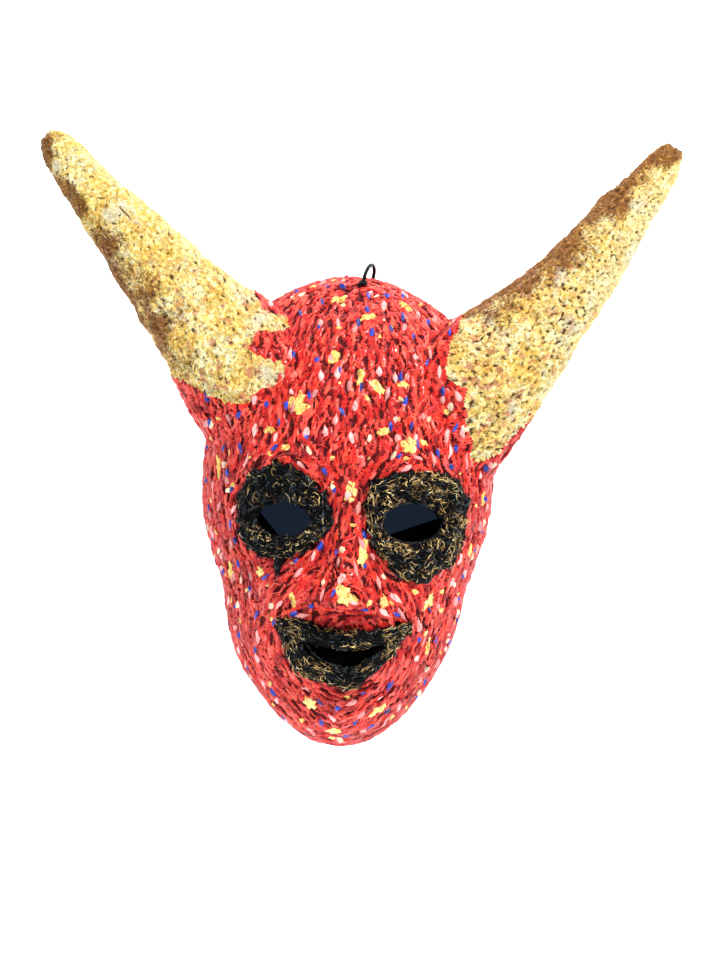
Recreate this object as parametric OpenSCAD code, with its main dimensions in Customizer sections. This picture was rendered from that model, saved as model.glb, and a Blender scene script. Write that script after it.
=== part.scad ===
// A horned devil mask of paper pulp: a pasted paper bowl under a red pulp skin,
// black pulp rims and lips, two gold horns on card cones, and a cord to hang it by.
// The face looks along -Y, the wall is the plane y = 0, and z = 0 is the line of the eyes.
// Left and right are as the viewer sees them: left is -X.

/* [Face] */
// Height of the face from chin to crown
face_h = 257; // [245:1:270]
// Width of the face at the line of the eyes
face_w = 154; // [148:1:162]
// Depth of the bowl from the wall to its middle
face_depth = 88; // [84:1:94]
// How square the bowl is in section, 2 being round
bowl_power = 2.3; // [2.2:0.05:2.5]
// Thickness of the pasted paper shell
shell_t = 3.5; // [3:0.5:4]
// Thickness of the red pulp skin
skin_t = 3; // [2.5:0.5:3.5]
// How far the nose stands out at its tip
nose_proud = 17; // [14:1:20]

/* [Eyes] */
// Distance between the middles of the eye holes
eye_spacing = 67; // [64:1:70]
// Width of an eye hole
eye_w = 30; // [27:1:32]
// Height of an eye hole
eye_h = 20; // [17:1:22]
// How far the black rims stand out
rim_proud = 3.6; // [2.5:0.1:4.5]

/* [Mouth] */
// Width of the mouth's opening
mouth_w = 48; // [44:1:52]
// How far the lips stand out
lip_proud = 4.2; // [3:0.1:5]

/* [Horns] */
// Radius of a horn at the start of its run, inside the head
horn_base_r = 38; // [35:1:40]
// Radius of a horn just under its tip
horn_tip_r = 8.5; // [7:0.5:10]
// Thickness of the gold pulp skin
horn_skin_t = 4; // [3:0.5:5]
// Wall of the card cone inside
cone_t = 2.5; // [2:0.5:3]
// How far the pulp at a horn's root flares out over the face
root_flare = 11; // [9:1:12]

/* [Hanger] */
// Diameter of the cord
cord_d = 1.9; // [1.6:0.1:2.1]
// Diameter of the holes it is threaded through
hole_d = 2.9; // [2.7:0.1:3.1]

/* [Flakes] */
// Spacing of the small coloured flakes pressed into the skin
flake_pitch = 12; // [12:1:16]
// Which scatter of flakes is used
flake_seed = 7; // [1:1:50]

/* [Hidden] */

// Radii of the rim's outline every 30 degrees, from the right round over the crown
outline = [77, 90, 119, 134, 122, 92, 80, 79, 104, 126, 99, 76];
spokes = 48;
rings = 17;
eps = 0.01;
// Pieces that are laid on one another stand this far apart
lay_gap = 0.08;
// The backs of the rims and lips stand this far off the skin
band_gap = 0.5;

// Blend of four neighbouring values, passing through b and c
function through(a, b, c, d, t) =
    b + t * ((c - a) / 2 + t * (a - 2.5 * b + 2 * c - d / 2 + t * (1.5 * (b - c) + (d - a) / 2)));
function around(list, deg) =
    let (n = len(list), u = (deg + 720) % 360 / 360 * n, i = floor(u))
    through(list[(i + n - 1) % n], list[i % n], list[(i + 1) % n], list[(i + 2) % n], u - i);
function rim_r(a) = around(outline, a);
function wide(x) = x * face_w / 154;
function tall(z) = z * face_h / 257;

// A soft mound of height 1 about a middle, with its own width and height
function mound(x, z, cx, cz, sx, sz) = exp(-pow((x - cx) / sx, 2) - pow((z - cz) / sz, 2));
// The nose: a ridge that widens down to the tip and ends short above the mouth
function nose(x, z) =
    let (down = max(0, min(1, (14 - z) / 54)), half = 6 + 7 * down, under = z < -40 ? 7 : 60)
    nose_proud * pow(down, 1.3) * exp(-pow(x / half, 2)) * exp(-pow(min(z + 40, 0) / under, 2))
        + 6 * (mound(x, z, 11, -39, 6, 7) + mound(x, z, -11, -39, 6, 7));
// Brows, eye sockets, cheeks, the swell round the mouth and the chin
function relief(x, z) =
    4 * mound(abs(x), z, 30, 32, 24, 11) - 5 * mound(abs(x), z, 33, 0, 16, 14)
        + 5 * mound(abs(x), z, 40, -36, 15, 18) + 6 * mound(x, z, 0, -68, 30, 20)
        + 6 * mound(x, z, 0, -104, 22, 14);

// The nose is left off where it would be thinner than this
nose_edge = 0.4;

// A point of the bowl: a is the angle round the face, tau runs from 0 in the middle
// to 90 at the rim, inset is how far the surface lies inside the skin's outer face
function bowl(a, tau, inset, nosed) =
    let (
        s = pow(sin(tau), 2 / bowl_power),
        c = tau >= 90 ? 0 : pow(cos(tau), 2 / bowl_power),
        x = (rim_r(a) - inset) * s * cos(a),
        z = (rim_r(a) - inset) * s * sin(a),
        nose_h = nosed ? max(0, nose(x, z) - nose_edge) : 0
    )
    [wide(x), -c * (face_depth - inset + relief(x, z) + nose_h), tall(z)];

// How far the skin's outer face stands out from the wall over a point of the wall
function stand_out(x, z) =
    let (
        u = x * 154 / face_w,
        w = z * 257 / face_h,
        s = min(1, norm([u, w]) / rim_r(atan2(w, u))),
        c = pow(1 - pow(s, bowl_power), 1 / bowl_power)
    )
    c * (face_depth + relief(u, w) + max(0, nose(u, w) - nose_edge));
function on_face(x, z, lift = 0) = [x, -stand_out(x, z) - lift, z];
function face_normal(x, z) =
    let (
        h = stand_out(x, z),
        n = [h - stand_out(x + 1, z), -1, h - stand_out(x, z + 1)]
    )
    n / norm(n);

// Points and triangles of the bowl's surface
function bowl_points(inset, nosed) = [
    bowl(90, 0, inset, nosed),
    for (j = [1:rings]) for (k = [0:spokes - 1]) bowl(k * 360 / spokes, j * 90 / rings, inset, nosed)
];
function at(j, k, from) = from + 1 + (j - 1) * spokes + k % spokes;
function strip(a, b, c, d) = [[a, b, c], [a, c, d]];
function turned(faces) = [for (f = faces) [f[2], f[1], f[0]]];
function bowl_faces(from) = concat(
    [for (k = [0:spokes - 1]) [from, at(1, k + 1, from), at(1, k, from)]],
    [for (j = [1:rings - 1]) for (k = [0:spokes - 1])
        for (f = strip(at(j, k, from), at(j, k + 1, from), at(j + 1, k + 1, from), at(j + 1, k, from))) f]
);
count = 1 + rings * spokes;

// A layer of the bowl between two insets
module bowl_layer(outer, inner, nosed) {
    polyhedron(
        concat(bowl_points(outer, nosed), bowl_points(inner, nosed)),
        concat(
            bowl_faces(0),
            turned(bowl_faces(count)),
            [for (k = [0:spokes - 1])
                for (f = strip(at(rings, k, 0), at(rings, k + 1, 0), at(rings, k + 1, count), at(rings, k, count))) f]
        )
    );
}

// The bowl filled to the wall, for trimming what sits on it
module bowl_filled(inset, nosed) {
    polyhedron(
        concat(bowl_points(inset, nosed), [[0, 0, 0]]),
        concat(
            bowl_faces(0),
            [for (k = [0:spokes - 1]) [at(rings, k, 0), at(rings, k + 1, 0), count]]
        )
    );
}

// Hands over everything inside it as one faceted solid of the same size
module one_solid() {
    resize([0, 0, 0]) children();
}

// Turns a shape drawn with x across and y up so that it faces the viewer
module facing() {
    rotate([90, 0, 0]) children();
}

// Stands a shape that points up along a direction at a place
module along(place, way) {
    translate(place) rotate([0, acos(way[2] / norm(way)), atan2(way[1], way[0])]) children();
}

/* Openings */
mouth_z = -61;
mouth_sag = 4.5;
mouth_drop = 15;
// The smiling mouth: its upper edge sags a little and its lower edge sags far
function mouth_edge(u, drop) = [u * mouth_w / 2, mouth_z - drop * (1 - u * u)];
module mouth_shape() {
    polygon(concat(
        [for (i = [0:12]) mouth_edge(1 - i / 6, mouth_sag)],
        [for (i = [1:11]) mouth_edge(i / 6 - 1, mouth_drop)]
    ));
}
module eye_shape(side) {
    translate([side * eye_spacing / 2, 0]) scale([1, eye_h / eye_w]) circle(d = eye_w, $fn = 40);
}
module through_face() {
    facing() linear_extrude(face_depth + 60) children();
}
module face_openings() {
    through_face() eye_shape(-1);
    through_face() eye_shape(1);
    through_face() mouth_shape();
}

/* Hanger route: from the knot in front, over the crown, to the rear hole */
loop_route = [
    [4, -35.5, 128.5], [4.3, -36.5, 131.5], [5.2, -35.5, 134.5], [6.4, -32, 137.5], [7.8, -27, 139.3],
    [8.9, -21.5, 139.8], [9.6, -16.5, 138.6], [9.7, -13.5, 136.4], [9.2, -12.5, 134.2]
];
loop_end = len(loop_route) - 1;
front_way = [0, -0.45, 0.89];
rear_way = [0, -0.12, 0.99];
// The inner run: down the front hole, back under the crown and up the rear hole
inner_route = [
    [4, -34.3, 125.9], [4.1, -32.9, 122], [4.5, -31, 118.6], [5.6, -27.5, 117.4], [7, -22.5, 118.8],
    [8.3, -17.5, 121.2], [9, -13.5, 124.2], [9.2, -12.2, 127.6], [9.2, -12.1, 132.6]
];
module cord_holes() {
    along(loop_route[0] - 20 * front_way, front_way) cylinder(d = hole_d, h = 26, $fn = 32);
    along(loop_route[loop_end] - 16 * rear_way, rear_way) cylinder(d = hole_d, h = 22, $fn = 32);
}

/* Face */
module paper_shell() {
    color("midnightblue") difference() {
        bowl_layer(skin_t, skin_t + shell_t, false);
        face_openings();
        cord_holes();
    }
}

module red_pulp_skin() {
    color("crimson") difference() {
        bowl_layer(0, skin_t, true);
        face_openings();
        cord_holes();
    }
}

// The wad of pulp between the shell and the skin that gives the nose its height
wad_half = [[0, -51], [13, -49], [20, -43], [21, -36], [10, -14], [4, 4], [0, 6]];
module wad_outline() {
    for (side = [0, 1]) mirror([side, 0]) polygon(wad_half);
}
module nose_wad() {
    color("tan") one_solid() difference() {
        intersection() {
            bowl_filled(skin_t + lay_gap / 2, true);
            through_face() wad_outline();
        }
        bowl_filled(skin_t - lay_gap / 2, false);
    }
}

// A low rounded band of pulp laid on the face between two edges, which are lists of
// [x, z] points that run side by side. It is drawn deep, and the face trims its back.
band_rows = 6;
function band_place(inner, outer, i, v) = inner[i] + (outer[i] - inner[i]) * v;
function band_point(inner, outer, i, j, proud) =
    let (v = j / band_rows, p = band_place(inner, outer, i, v))
    on_face(p[0], p[1], 0.8 + (proud - 0.8) * pow(sin(180 * v), 0.6));
module band(inner, outer, proud, closed) {
    n = len(inner);
    row = band_rows + 1;
    sunk = 4;
    top = [for (i = [0:n - 1]) for (j = [0:band_rows]) band_point(inner, outer, i, j, proud)];
    low = [for (i = [0:n - 1]) for (j = [0:band_rows])
        let (p = band_place(inner, outer, i, j / band_rows)) on_face(p[0], p[1], -sunk)];
    last = closed ? n - 1 : n - 2;
    under = n * row;
    function id(i, j) = (i % n) * row + j;
    tops = [for (i = [0:last]) for (j = [0:band_rows - 1])
        for (f = strip(id(i, j), id(i + 1, j), id(i + 1, j + 1), id(i, j + 1))) f];
    lows = [for (f = turned(tops)) [for (k = f) k + under]];
    edges = [for (i = [0:last]) for (f = concat(
        strip(id(i + 1, 0), id(i, 0), id(i, 0) + under, id(i + 1, 0) + under),
        strip(id(i, band_rows), id(i + 1, band_rows), id(i + 1, band_rows) + under, id(i, band_rows) + under)
    )) f];
    ends = closed ? [] : [for (j = [0:band_rows - 1]) for (f = concat(
        strip(id(0, j), id(0, j + 1), id(0, j + 1) + under, id(0, j) + under),
        strip(id(last + 1, j + 1), id(last + 1, j), id(last + 1, j) + under, id(last + 1, j + 1) + under)
    )) f];
    one_solid() difference() {
        polyhedron(concat(top, low), concat(tops, lows, edges, ends));
        translate([0, -band_gap, 0]) bowl_filled(0, true);
    }
}

// Reach of each rim from the middle of its eye, every 45 degrees from the right
left_rim_reach = [25, 25, 29, 29, 25, 25, 20, 20];
right_rim_reach = [29, 33, 26, 30, 24, 24, 30, 31];
rim_steps = 40;
module eye_rim(side, reach) {
    turns = [for (i = [0:rim_steps - 1]) -i * 360 / rim_steps];
    inner = [for (a = turns) [side * eye_spacing / 2 + eye_w / 2 * cos(a), eye_h / 2 * sin(a)]];
    outer = [for (a = turns) [side * eye_spacing / 2 + around(reach, a) * cos(a), around(reach, a) * sin(a)]];
    band(inner, outer, rim_proud, true);
}
module left_eye_rim() {
    color("black") eye_rim(-1, left_rim_reach);
}
module right_eye_rim() {
    color("black") eye_rim(1, right_rim_reach);
}

lip_steps = 24;
lip_gap = 0.4;
module upper_lip() {
    run = [for (i = [0:lip_steps]) 2 * i / lip_steps - 1];
    reach = 35;
    inner = [for (u = run) [u * reach, mouth_z - mouth_sag + mouth_sag * pow(u * reach / mouth_w * 2, 2)]];
    outer = [for (u = run) [u * reach, -56 + 4.5 * u * u]];
    color("black") band(inner, outer, lip_proud, false);
}
module lower_lip() {
    run = [for (i = [0:lip_steps]) 180 + 180 * i / lip_steps];
    inner = [for (a = run) [mouth_w / 2 * cos(a), mouth_z - lip_gap + mouth_drop * sin(a)]];
    outer = [for (a = run) [33 * cos(a), mouth_z + 2.5 - lip_gap + 30 * sin(a)]];
    color("black") band(outer, inner, lip_proud, false);
}

/* Horns */
// Where each horn starts inside the head, passes halfway and ends
left_horn = [[-35, -26, 51], [-102, -48, 126], [-168, -46, 200]];
right_horn = [[43, -26, 43], [108, -48, 121], [168, -46, 204]];
// Where along the horn's path the hollow for its card cone starts and ends
cone_from = -0.02;
cone_to = 0.95;
// The root's thickness where its flare runs out
root_least = 0.6;
horn_steps = 14;
horn_sides = 24;
function horn_at(path, t) =
    let (bend = 2 * path[1] - (path[0] + path[2]) / 2)
    (1 - t) * (1 - t) * path[0] + 2 * t * (1 - t) * bend + t * t * path[2];
function horn_way(path, t) = horn_at(path, t + 0.01) - horn_at(path, t - 0.01);
// Radius along a horn: an even taper that rounds over at the tip
function horn_r(t, inset) =
    let (close = max(0, (t - 0.93) / 0.07))
    (horn_base_r + (horn_tip_r - horn_base_r) * t) * sqrt(1 - 0.6 * close * close) - inset;
// A run of discs along the horn, hulled pair by pair. A flare widens its start, and a lean
// over 0 widens it more on the side of the crown than on the side of the cheek
module horn_run(path, inset, from = 0, to = 1, flare = 0, lean = 0, steps = horn_steps) {
    module disc(u) {
        t = from + (to - from) * u;
        spread = flare * pow(1 - u, 1.5);
        along(horn_at(path, t), horn_way(path, t)) translate([-lean * spread, 0, 0])
            cylinder(r = horn_r(t, inset) + spread, h = eps, $fn = horn_sides);
    }
    for (i = [0:steps - 1]) hull() {
        disc(i / steps);
        disc((i + 1) / steps);
    }
}
module behind_wall() {
    translate([-300, -1.5, -300]) cube([600, 200, 700]);
}
module horn_skin(path) {
    difference() {
        horn_run(path, 0);
        horn_run(path, horn_skin_t, cone_from, cone_to);
        bowl_filled(-lay_gap, true);
        behind_wall();
    }
}
module horn_cone(path) {
    difference() {
        horn_run(path, horn_skin_t + lay_gap, cone_from, cone_to - 0.001);
        horn_run(path, horn_skin_t + cone_t, cone_from, cone_to - 0.03);
        bowl_filled(-lay_gap, true);
        behind_wall();
    }
}
module horn_root(path, lean) {
    difference() {
        horn_run(path, -root_least, 0.02, 0.5, root_flare, lean, 10);
        horn_run(path, -lay_gap);
        bowl_filled(-lay_gap, true);
        behind_wall();
    }
}
module left_horn_cone() {
    color("burlywood") one_solid() horn_cone(left_horn);
}
module right_horn_cone() {
    color("burlywood") one_solid() horn_cone(right_horn);
}
module left_horn_skin() {
    color("goldenrod") one_solid() horn_skin(left_horn);
}
module right_horn_skin() {
    color("goldenrod") one_solid() horn_skin(right_horn);
}
module left_horn_root() {
    color("gold") one_solid() horn_root(left_horn, 0.5);
}
module right_horn_root() {
    color("gold") one_solid() horn_root(right_horn, 1.1);
}

/* Hanger */
cord_sides = 8;
function unit(v) = v / norm(v);
// A tube swept along a route, its sides kept from twisting by one fixed direction
module cord_tube(route) {
    n = len(route);
    ways = [for (i = [0:n - 1]) unit(route[min(i + 1, n - 1)] - route[max(i - 1, 0)])];
    points = [for (i = [0:n - 1]) for (k = [0:cord_sides - 1])
        let (
            side = unit(cross(ways[i], [1, 0, 0])),
            up = cross(side, ways[i]),
            a = k * 360 / cord_sides
        )
        route[i] + cord_d / 2 * (cos(a) * side + sin(a) * up)];
    polyhedron(points, concat(
        [[for (k = [0:cord_sides - 1]) k]],
        [[for (k = [cord_sides - 1:-1:0]) (n - 1) * cord_sides + k]],
        [for (i = [0:n - 2]) for (k = [0:cord_sides - 1])
            let (a = i * cord_sides, b = (k + 1) % cord_sides)
            for (f = strip(a + k, a + cord_sides + k, a + cord_sides + b, a + b)) f]
    ));
}
module hanger_loop() {
    color("black") cord_tube(loop_route);
}
module hanger_inner_run() {
    color("black") cord_tube(inner_route);
}
// The knot is round about the line that the loop swings on
knot_r = 2;
module hanger_knot() {
    color("black") along(loop_route[0], loop_route[loop_end] - loop_route[0])
        rotate_extrude($fn = 32) translate([knot_r / 2, 0]) circle(d = knot_r, $fn = 24);
}

/* Flakes */
// Gold flakes laid by hand: x, z, length, width and turn
gold_places = [
    [-9, 118, 7, 5, 10], [7, 108, 7, 4, 30], [-10, 85, 7, 5, 80], [4, 75, 6, 4, 60],
    [13, 70, 9, 4, -50], [26, 72, 6, 3, 0], [27, 116, 7, 4, -30], [-28, 60, 10, 8, 70],
    [30, 40, 8, 7, 20], [-33, 37, 4, 3, 0], [17, 47, 5, 4, -20], [1, 15, 9, 5, 80],
    [8, -15, 13, 4, 80], [0, -37, 9, 8, -40], [20, -41, 7, 4, 100], [44, -41, 7, 6, 30],
    [44, -65, 8, 4, 80], [-27, -41, 6, 3, 100], [-17, -97, 7, 6, 60], [19, -100, 9, 5, 40],
    [-4, -113, 7, 5, 20], [-45, -28, 5, 4, 0], [-70, 26, 10, 4, 95], [-62, -28, 9, 4, 100],
    [72, 14, 8, 4, 80], [66, -14, 6, 4, 50], [-42, 46, 5, 3, 0], [38, 42, 4, 3, 10]
];
flake_h = 1.6;
flake_sunk = 1;
// An uneven six-cornered flake, l long and w wide
module flake(l, w, turn, seed) {
    jig = rands(0.75, 1.1, 6, seed);
    rotate(turn) linear_extrude(flake_h)
        polygon([for (i = [0:5]) jig[i] * [l / 2 * cos(60 * i), w / 2 * sin(60 * i)]]);
}
module flake_on_face(x, z, l, w, turn, seed) {
    along(on_face(x, z, -flake_sunk), face_normal(x, z)) rotate(90) flake(l, w, turn, seed);
}
module gold_flakes() {
    color("gold") for (i = [0:len(gold_places) - 1])
        flake_on_face(gold_places[i][0], gold_places[i][1], gold_places[i][2], gold_places[i][3],
            gold_places[i][4], i);
}

// The small flakes stand on a loose grid, each cell with its own kind, place, size and turn
across = 6;
up = 10;
function cell(i, j, k) = rands(0, 1, 6, flake_seed * 1000 + (i + across) * 50 + j + up)[k];
function cell_x(i, j) = (i + (j % 2) / 2 + 0.35 * (cell(i, j, 0) - 0.5)) * flake_pitch;
function cell_z(i, j) = (j + 0.35 * (cell(i, j, 1) - 0.5)) * flake_pitch;
function from_rim(x, z) = rim_r(atan2(z * 257 / face_h, x * 154 / face_w)) - norm([x, z]);
function clear_of_gold(x, z) =
    min([for (g = gold_places) norm([x - g[0], z - g[1]]) - g[2] / 2]) > 5;
function clear_of_eyes(x, z) = norm([abs(x) - eye_spacing / 2, z]) > 36;
function clear_of_mouth(x, z) = norm([x / 1.1, z + 66]) > 36;
function clear_of_horns(x, z) =
    norm([x + 70, z - 92]) > 58 && norm([x - 70, z - 88]) > 58;
function clear_of_hanger(x, z) = norm([x - 6, z - 128]) > 12;
function is_free(x, z) =
    from_rim(x, z) > 7 && clear_of_gold(x, z) && clear_of_eyes(x, z) && clear_of_mouth(x, z)
        && clear_of_horns(x, z) && clear_of_hanger(x, z);
// Draws the flakes whose kind falls between two shares of the scatter
module scatter(from, to, l, w) {
    for (j = [-up:up]) for (i = [-across:across]) {
        x = cell_x(i, j);
        z = cell_z(i, j);
        kind = cell(i, j, 2);
        if (kind >= from && kind < to && is_free(x, z))
            flake_on_face(x, z, l * (0.8 + 0.4 * cell(i, j, 3)), w, 90 + 50 * (cell(i, j, 4) - 0.5), i * 31 + j);
    }
}
module blue_flakes() {
    color("royalblue") scatter(0, 0.38, 4, 2.2);
}
module pink_flakes() {
    color("lightpink") scatter(0.38, 0.84, 5, 2.6);
}
module cream_flakes() {
    color("blanchedalmond") scatter(0.84, 1, 4.6, 3.4);
}

paper_shell();
red_pulp_skin();
nose_wad();
left_eye_rim();
right_eye_rim();
upper_lip();
lower_lip();
left_horn_cone();
right_horn_cone();
left_horn_skin();
right_horn_skin();
left_horn_root();
right_horn_root();
hanger_loop();
hanger_knot();
hanger_inner_run();
gold_flakes();
blue_flakes();
pink_flakes();
cream_flakes();
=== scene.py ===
"""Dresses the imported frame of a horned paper-pulp devil mask.

Every surface is a grid of points over the mask's own shape. Strands of pulp are laid on
the grid one by one, and the flakes, the black tangles and the cord are then put on top.
Lengths are in millimetres until a mesh is made, and meshes are in metres.
"""
import math

import bmesh
import bpy
import numpy as np
from mathutils import Matrix, Vector, noise
from mathutils.bvhtree import BVHTree


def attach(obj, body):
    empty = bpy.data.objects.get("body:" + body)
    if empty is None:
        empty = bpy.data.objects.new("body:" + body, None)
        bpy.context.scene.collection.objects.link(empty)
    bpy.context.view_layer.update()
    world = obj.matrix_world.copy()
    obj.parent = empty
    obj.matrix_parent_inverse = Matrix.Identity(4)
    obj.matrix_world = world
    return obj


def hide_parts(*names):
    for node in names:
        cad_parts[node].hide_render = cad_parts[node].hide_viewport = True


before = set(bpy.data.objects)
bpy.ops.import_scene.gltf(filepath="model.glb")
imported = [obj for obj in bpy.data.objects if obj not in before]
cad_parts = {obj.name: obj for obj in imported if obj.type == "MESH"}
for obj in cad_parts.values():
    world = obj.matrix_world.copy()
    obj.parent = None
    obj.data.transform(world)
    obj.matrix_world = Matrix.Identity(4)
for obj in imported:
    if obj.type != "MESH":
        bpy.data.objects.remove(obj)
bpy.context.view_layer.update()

bl_info = {
    "name": "Pulp Devil Mask",
    "version": (1, 0, 0),
    "blender": (4, 5, 0),
    "location": "3D View > Sidebar > Mask",
    "description": "Dresses the frame of a horned paper-pulp mask with pulp, gold and cord",
    "category": "Add Mesh",
}

MM = 0.001


# ---------------------------------------------------------------- sizes and colours

class FaceSizes(bpy.types.PropertyGroup):
    """The bowl of the face, in millimetres."""
    depth: bpy.props.FloatProperty(
        name="Depth", description="Depth of the bowl from the wall to its middle", default=88.0)
    power: bpy.props.FloatProperty(
        name="Squareness", description="How square the bowl is in section, 2 being round", default=2.3)
    skin: bpy.props.FloatProperty(
        name="Skin", description="Thickness of the red pulp skin", default=3.0)
    shell: bpy.props.FloatProperty(
        name="Shell", description="Thickness of the pasted paper shell", default=3.5)
    nose: bpy.props.FloatProperty(
        name="Nose", description="How far the nose stands out at its tip", default=17.0)
    grain: bpy.props.FloatProperty(
        name="Grain", description="Spacing of the grid that the strands are laid on", default=0.75)
    strands: bpy.props.IntProperty(
        name="Strands", description="How many strands of pulp cover the face", default=19000)


class OpeningSizes(bpy.types.PropertyGroup):
    """The eye holes and the mouth, in millimetres."""
    eye_spacing: bpy.props.FloatProperty(
        name="Eye spacing", description="Distance between the middles of the eye holes", default=67.0)
    eye_w: bpy.props.FloatProperty(name="Eye width", description="Width of an eye hole", default=30.0)
    eye_h: bpy.props.FloatProperty(name="Eye height", description="Height of an eye hole", default=20.0)
    mouth_w: bpy.props.FloatProperty(
        name="Mouth width", description="Width of the mouth's opening", default=48.0)
    rim_proud: bpy.props.FloatProperty(
        name="Rim", description="How far the black rims stand out", default=3.4)
    lip_proud: bpy.props.FloatProperty(
        name="Lip", description="How far the lips stand out", default=4.0)


class HornSizes(bpy.types.PropertyGroup):
    """The horns, in millimetres."""
    base_r: bpy.props.FloatProperty(
        name="Base radius", description="Radius where the horn starts inside the head", default=38.0)
    tip_r: bpy.props.FloatProperty(name="Tip radius", description="Radius just under the tip", default=8.5)
    flare: bpy.props.FloatProperty(
        name="Flare", description="How far the root flares out over the face", default=11.0)
    strands: bpy.props.IntProperty(
        name="Strands", description="How many strands of pulp cover a horn", default=3600)


class CordSizes(bpy.types.PropertyGroup):
    """The hanging cord, in metres."""
    diameter: bpy.props.FloatProperty(
        name="Diameter", description="Diameter of the cord", default=0.0019, unit="LENGTH")


class Colours(bpy.types.PropertyGroup):
    """The paints and papers."""
    red: bpy.props.FloatVectorProperty(
        name="Red", description="Red of the pulp", subtype="COLOR", size=4, default=(0.62, 0.020, 0.017, 1))
    coral: bpy.props.FloatVectorProperty(
        name="Coral", description="Pale red of the pulp", subtype="COLOR", size=4,
        default=(0.86, 0.130, 0.075, 1))
    # Besides being a tone of the pulp, this dark red is painted as shade in the hollows and slots between
    # strands.
    maroon_and_shade: bpy.props.FloatVectorProperty(
        name="Maroon", description="Dark red in the hollows", subtype="COLOR", size=4,
        default=(0.085, 0.003, 0.005, 1))
    gold: bpy.props.FloatVectorProperty(
        name="Gold", description="Gold leaf", subtype="COLOR", size=4, default=(0.97, 0.68, 0.19, 1))
    # Besides the gold's cracks and wear, this dark colour is painted as shade in the gold's hollows.
    umber_and_shade: bpy.props.FloatVectorProperty(
        name="Umber", description="Brown in the gold's hollows", subtype="COLOR", size=4,
        default=(0.18, 0.070, 0.018, 1))
    silver: bpy.props.FloatVectorProperty(
        name="Silver", description="Pale rubbed patches of the gold", subtype="COLOR", size=4,
        default=(0.74, 0.72, 0.60, 1))
    black: bpy.props.FloatVectorProperty(
        name="Black", description="Black pulp", subtype="COLOR", size=4, default=(0.0022, 0.0024, 0.0032, 1))
    navy: bpy.props.FloatVectorProperty(
        name="Navy", description="Paint inside the shell", subtype="COLOR", size=4,
        default=(0.026, 0.034, 0.052, 1))
    blue: bpy.props.FloatVectorProperty(
        name="Blue", description="Blue flakes", subtype="COLOR", size=4, default=(0.010, 0.035, 0.30, 1))
    pink: bpy.props.FloatVectorProperty(
        name="Pink", description="Pink flakes", subtype="COLOR", size=4, default=(0.80, 0.30, 0.28, 1))
    cream: bpy.props.FloatVectorProperty(
        name="Cream", description="Cream flakes", subtype="COLOR", size=4, default=(0.78, 0.56, 0.38, 1))


def sizes(group):
    return getattr(bpy.context.scene, "mask_" + group)


# ---------------------------------------------------------------- shader maths

class Value:
    """A socket that can be worked with like a number."""

    def __init__(self, paint, socket):
        self.paint = paint
        self.socket = socket

    def _math(self, operation, first, second=0.0):
        return self.paint.node("ShaderNodeMath", {"operation": operation}, {0: first, 1: second})

    def __add__(self, other):
        return self._math("ADD", self, other)

    def __radd__(self, other):
        return self._math("ADD", other, self)

    def __sub__(self, other):
        return self._math("SUBTRACT", self, other)

    def __rsub__(self, other):
        return self._math("SUBTRACT", other, self)

    def __mul__(self, other):
        return self._math("MULTIPLY", self, other)

    def __rmul__(self, other):
        return self._math("MULTIPLY", other, self)

    def __truediv__(self, other):
        return self._math("DIVIDE", self, other)

    def __pow__(self, other):
        return self._math("POWER", self, other)

    def away(self, middle):
        """How far the value lies from a middle, whichever way."""
        gap = self - middle
        return gap._math("ABSOLUTE", gap)

    def step(self, low, high, bottom=0.0, top=1.0):
        """Rises smoothly from bottom at low to top at high."""
        return self.paint.node(
            "ShaderNodeMapRange", {"interpolation_type": "SMOOTHSTEP"},
            {"Value": self, "From Min": low, "From Max": high, "To Min": bottom, "To Max": top})


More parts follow.
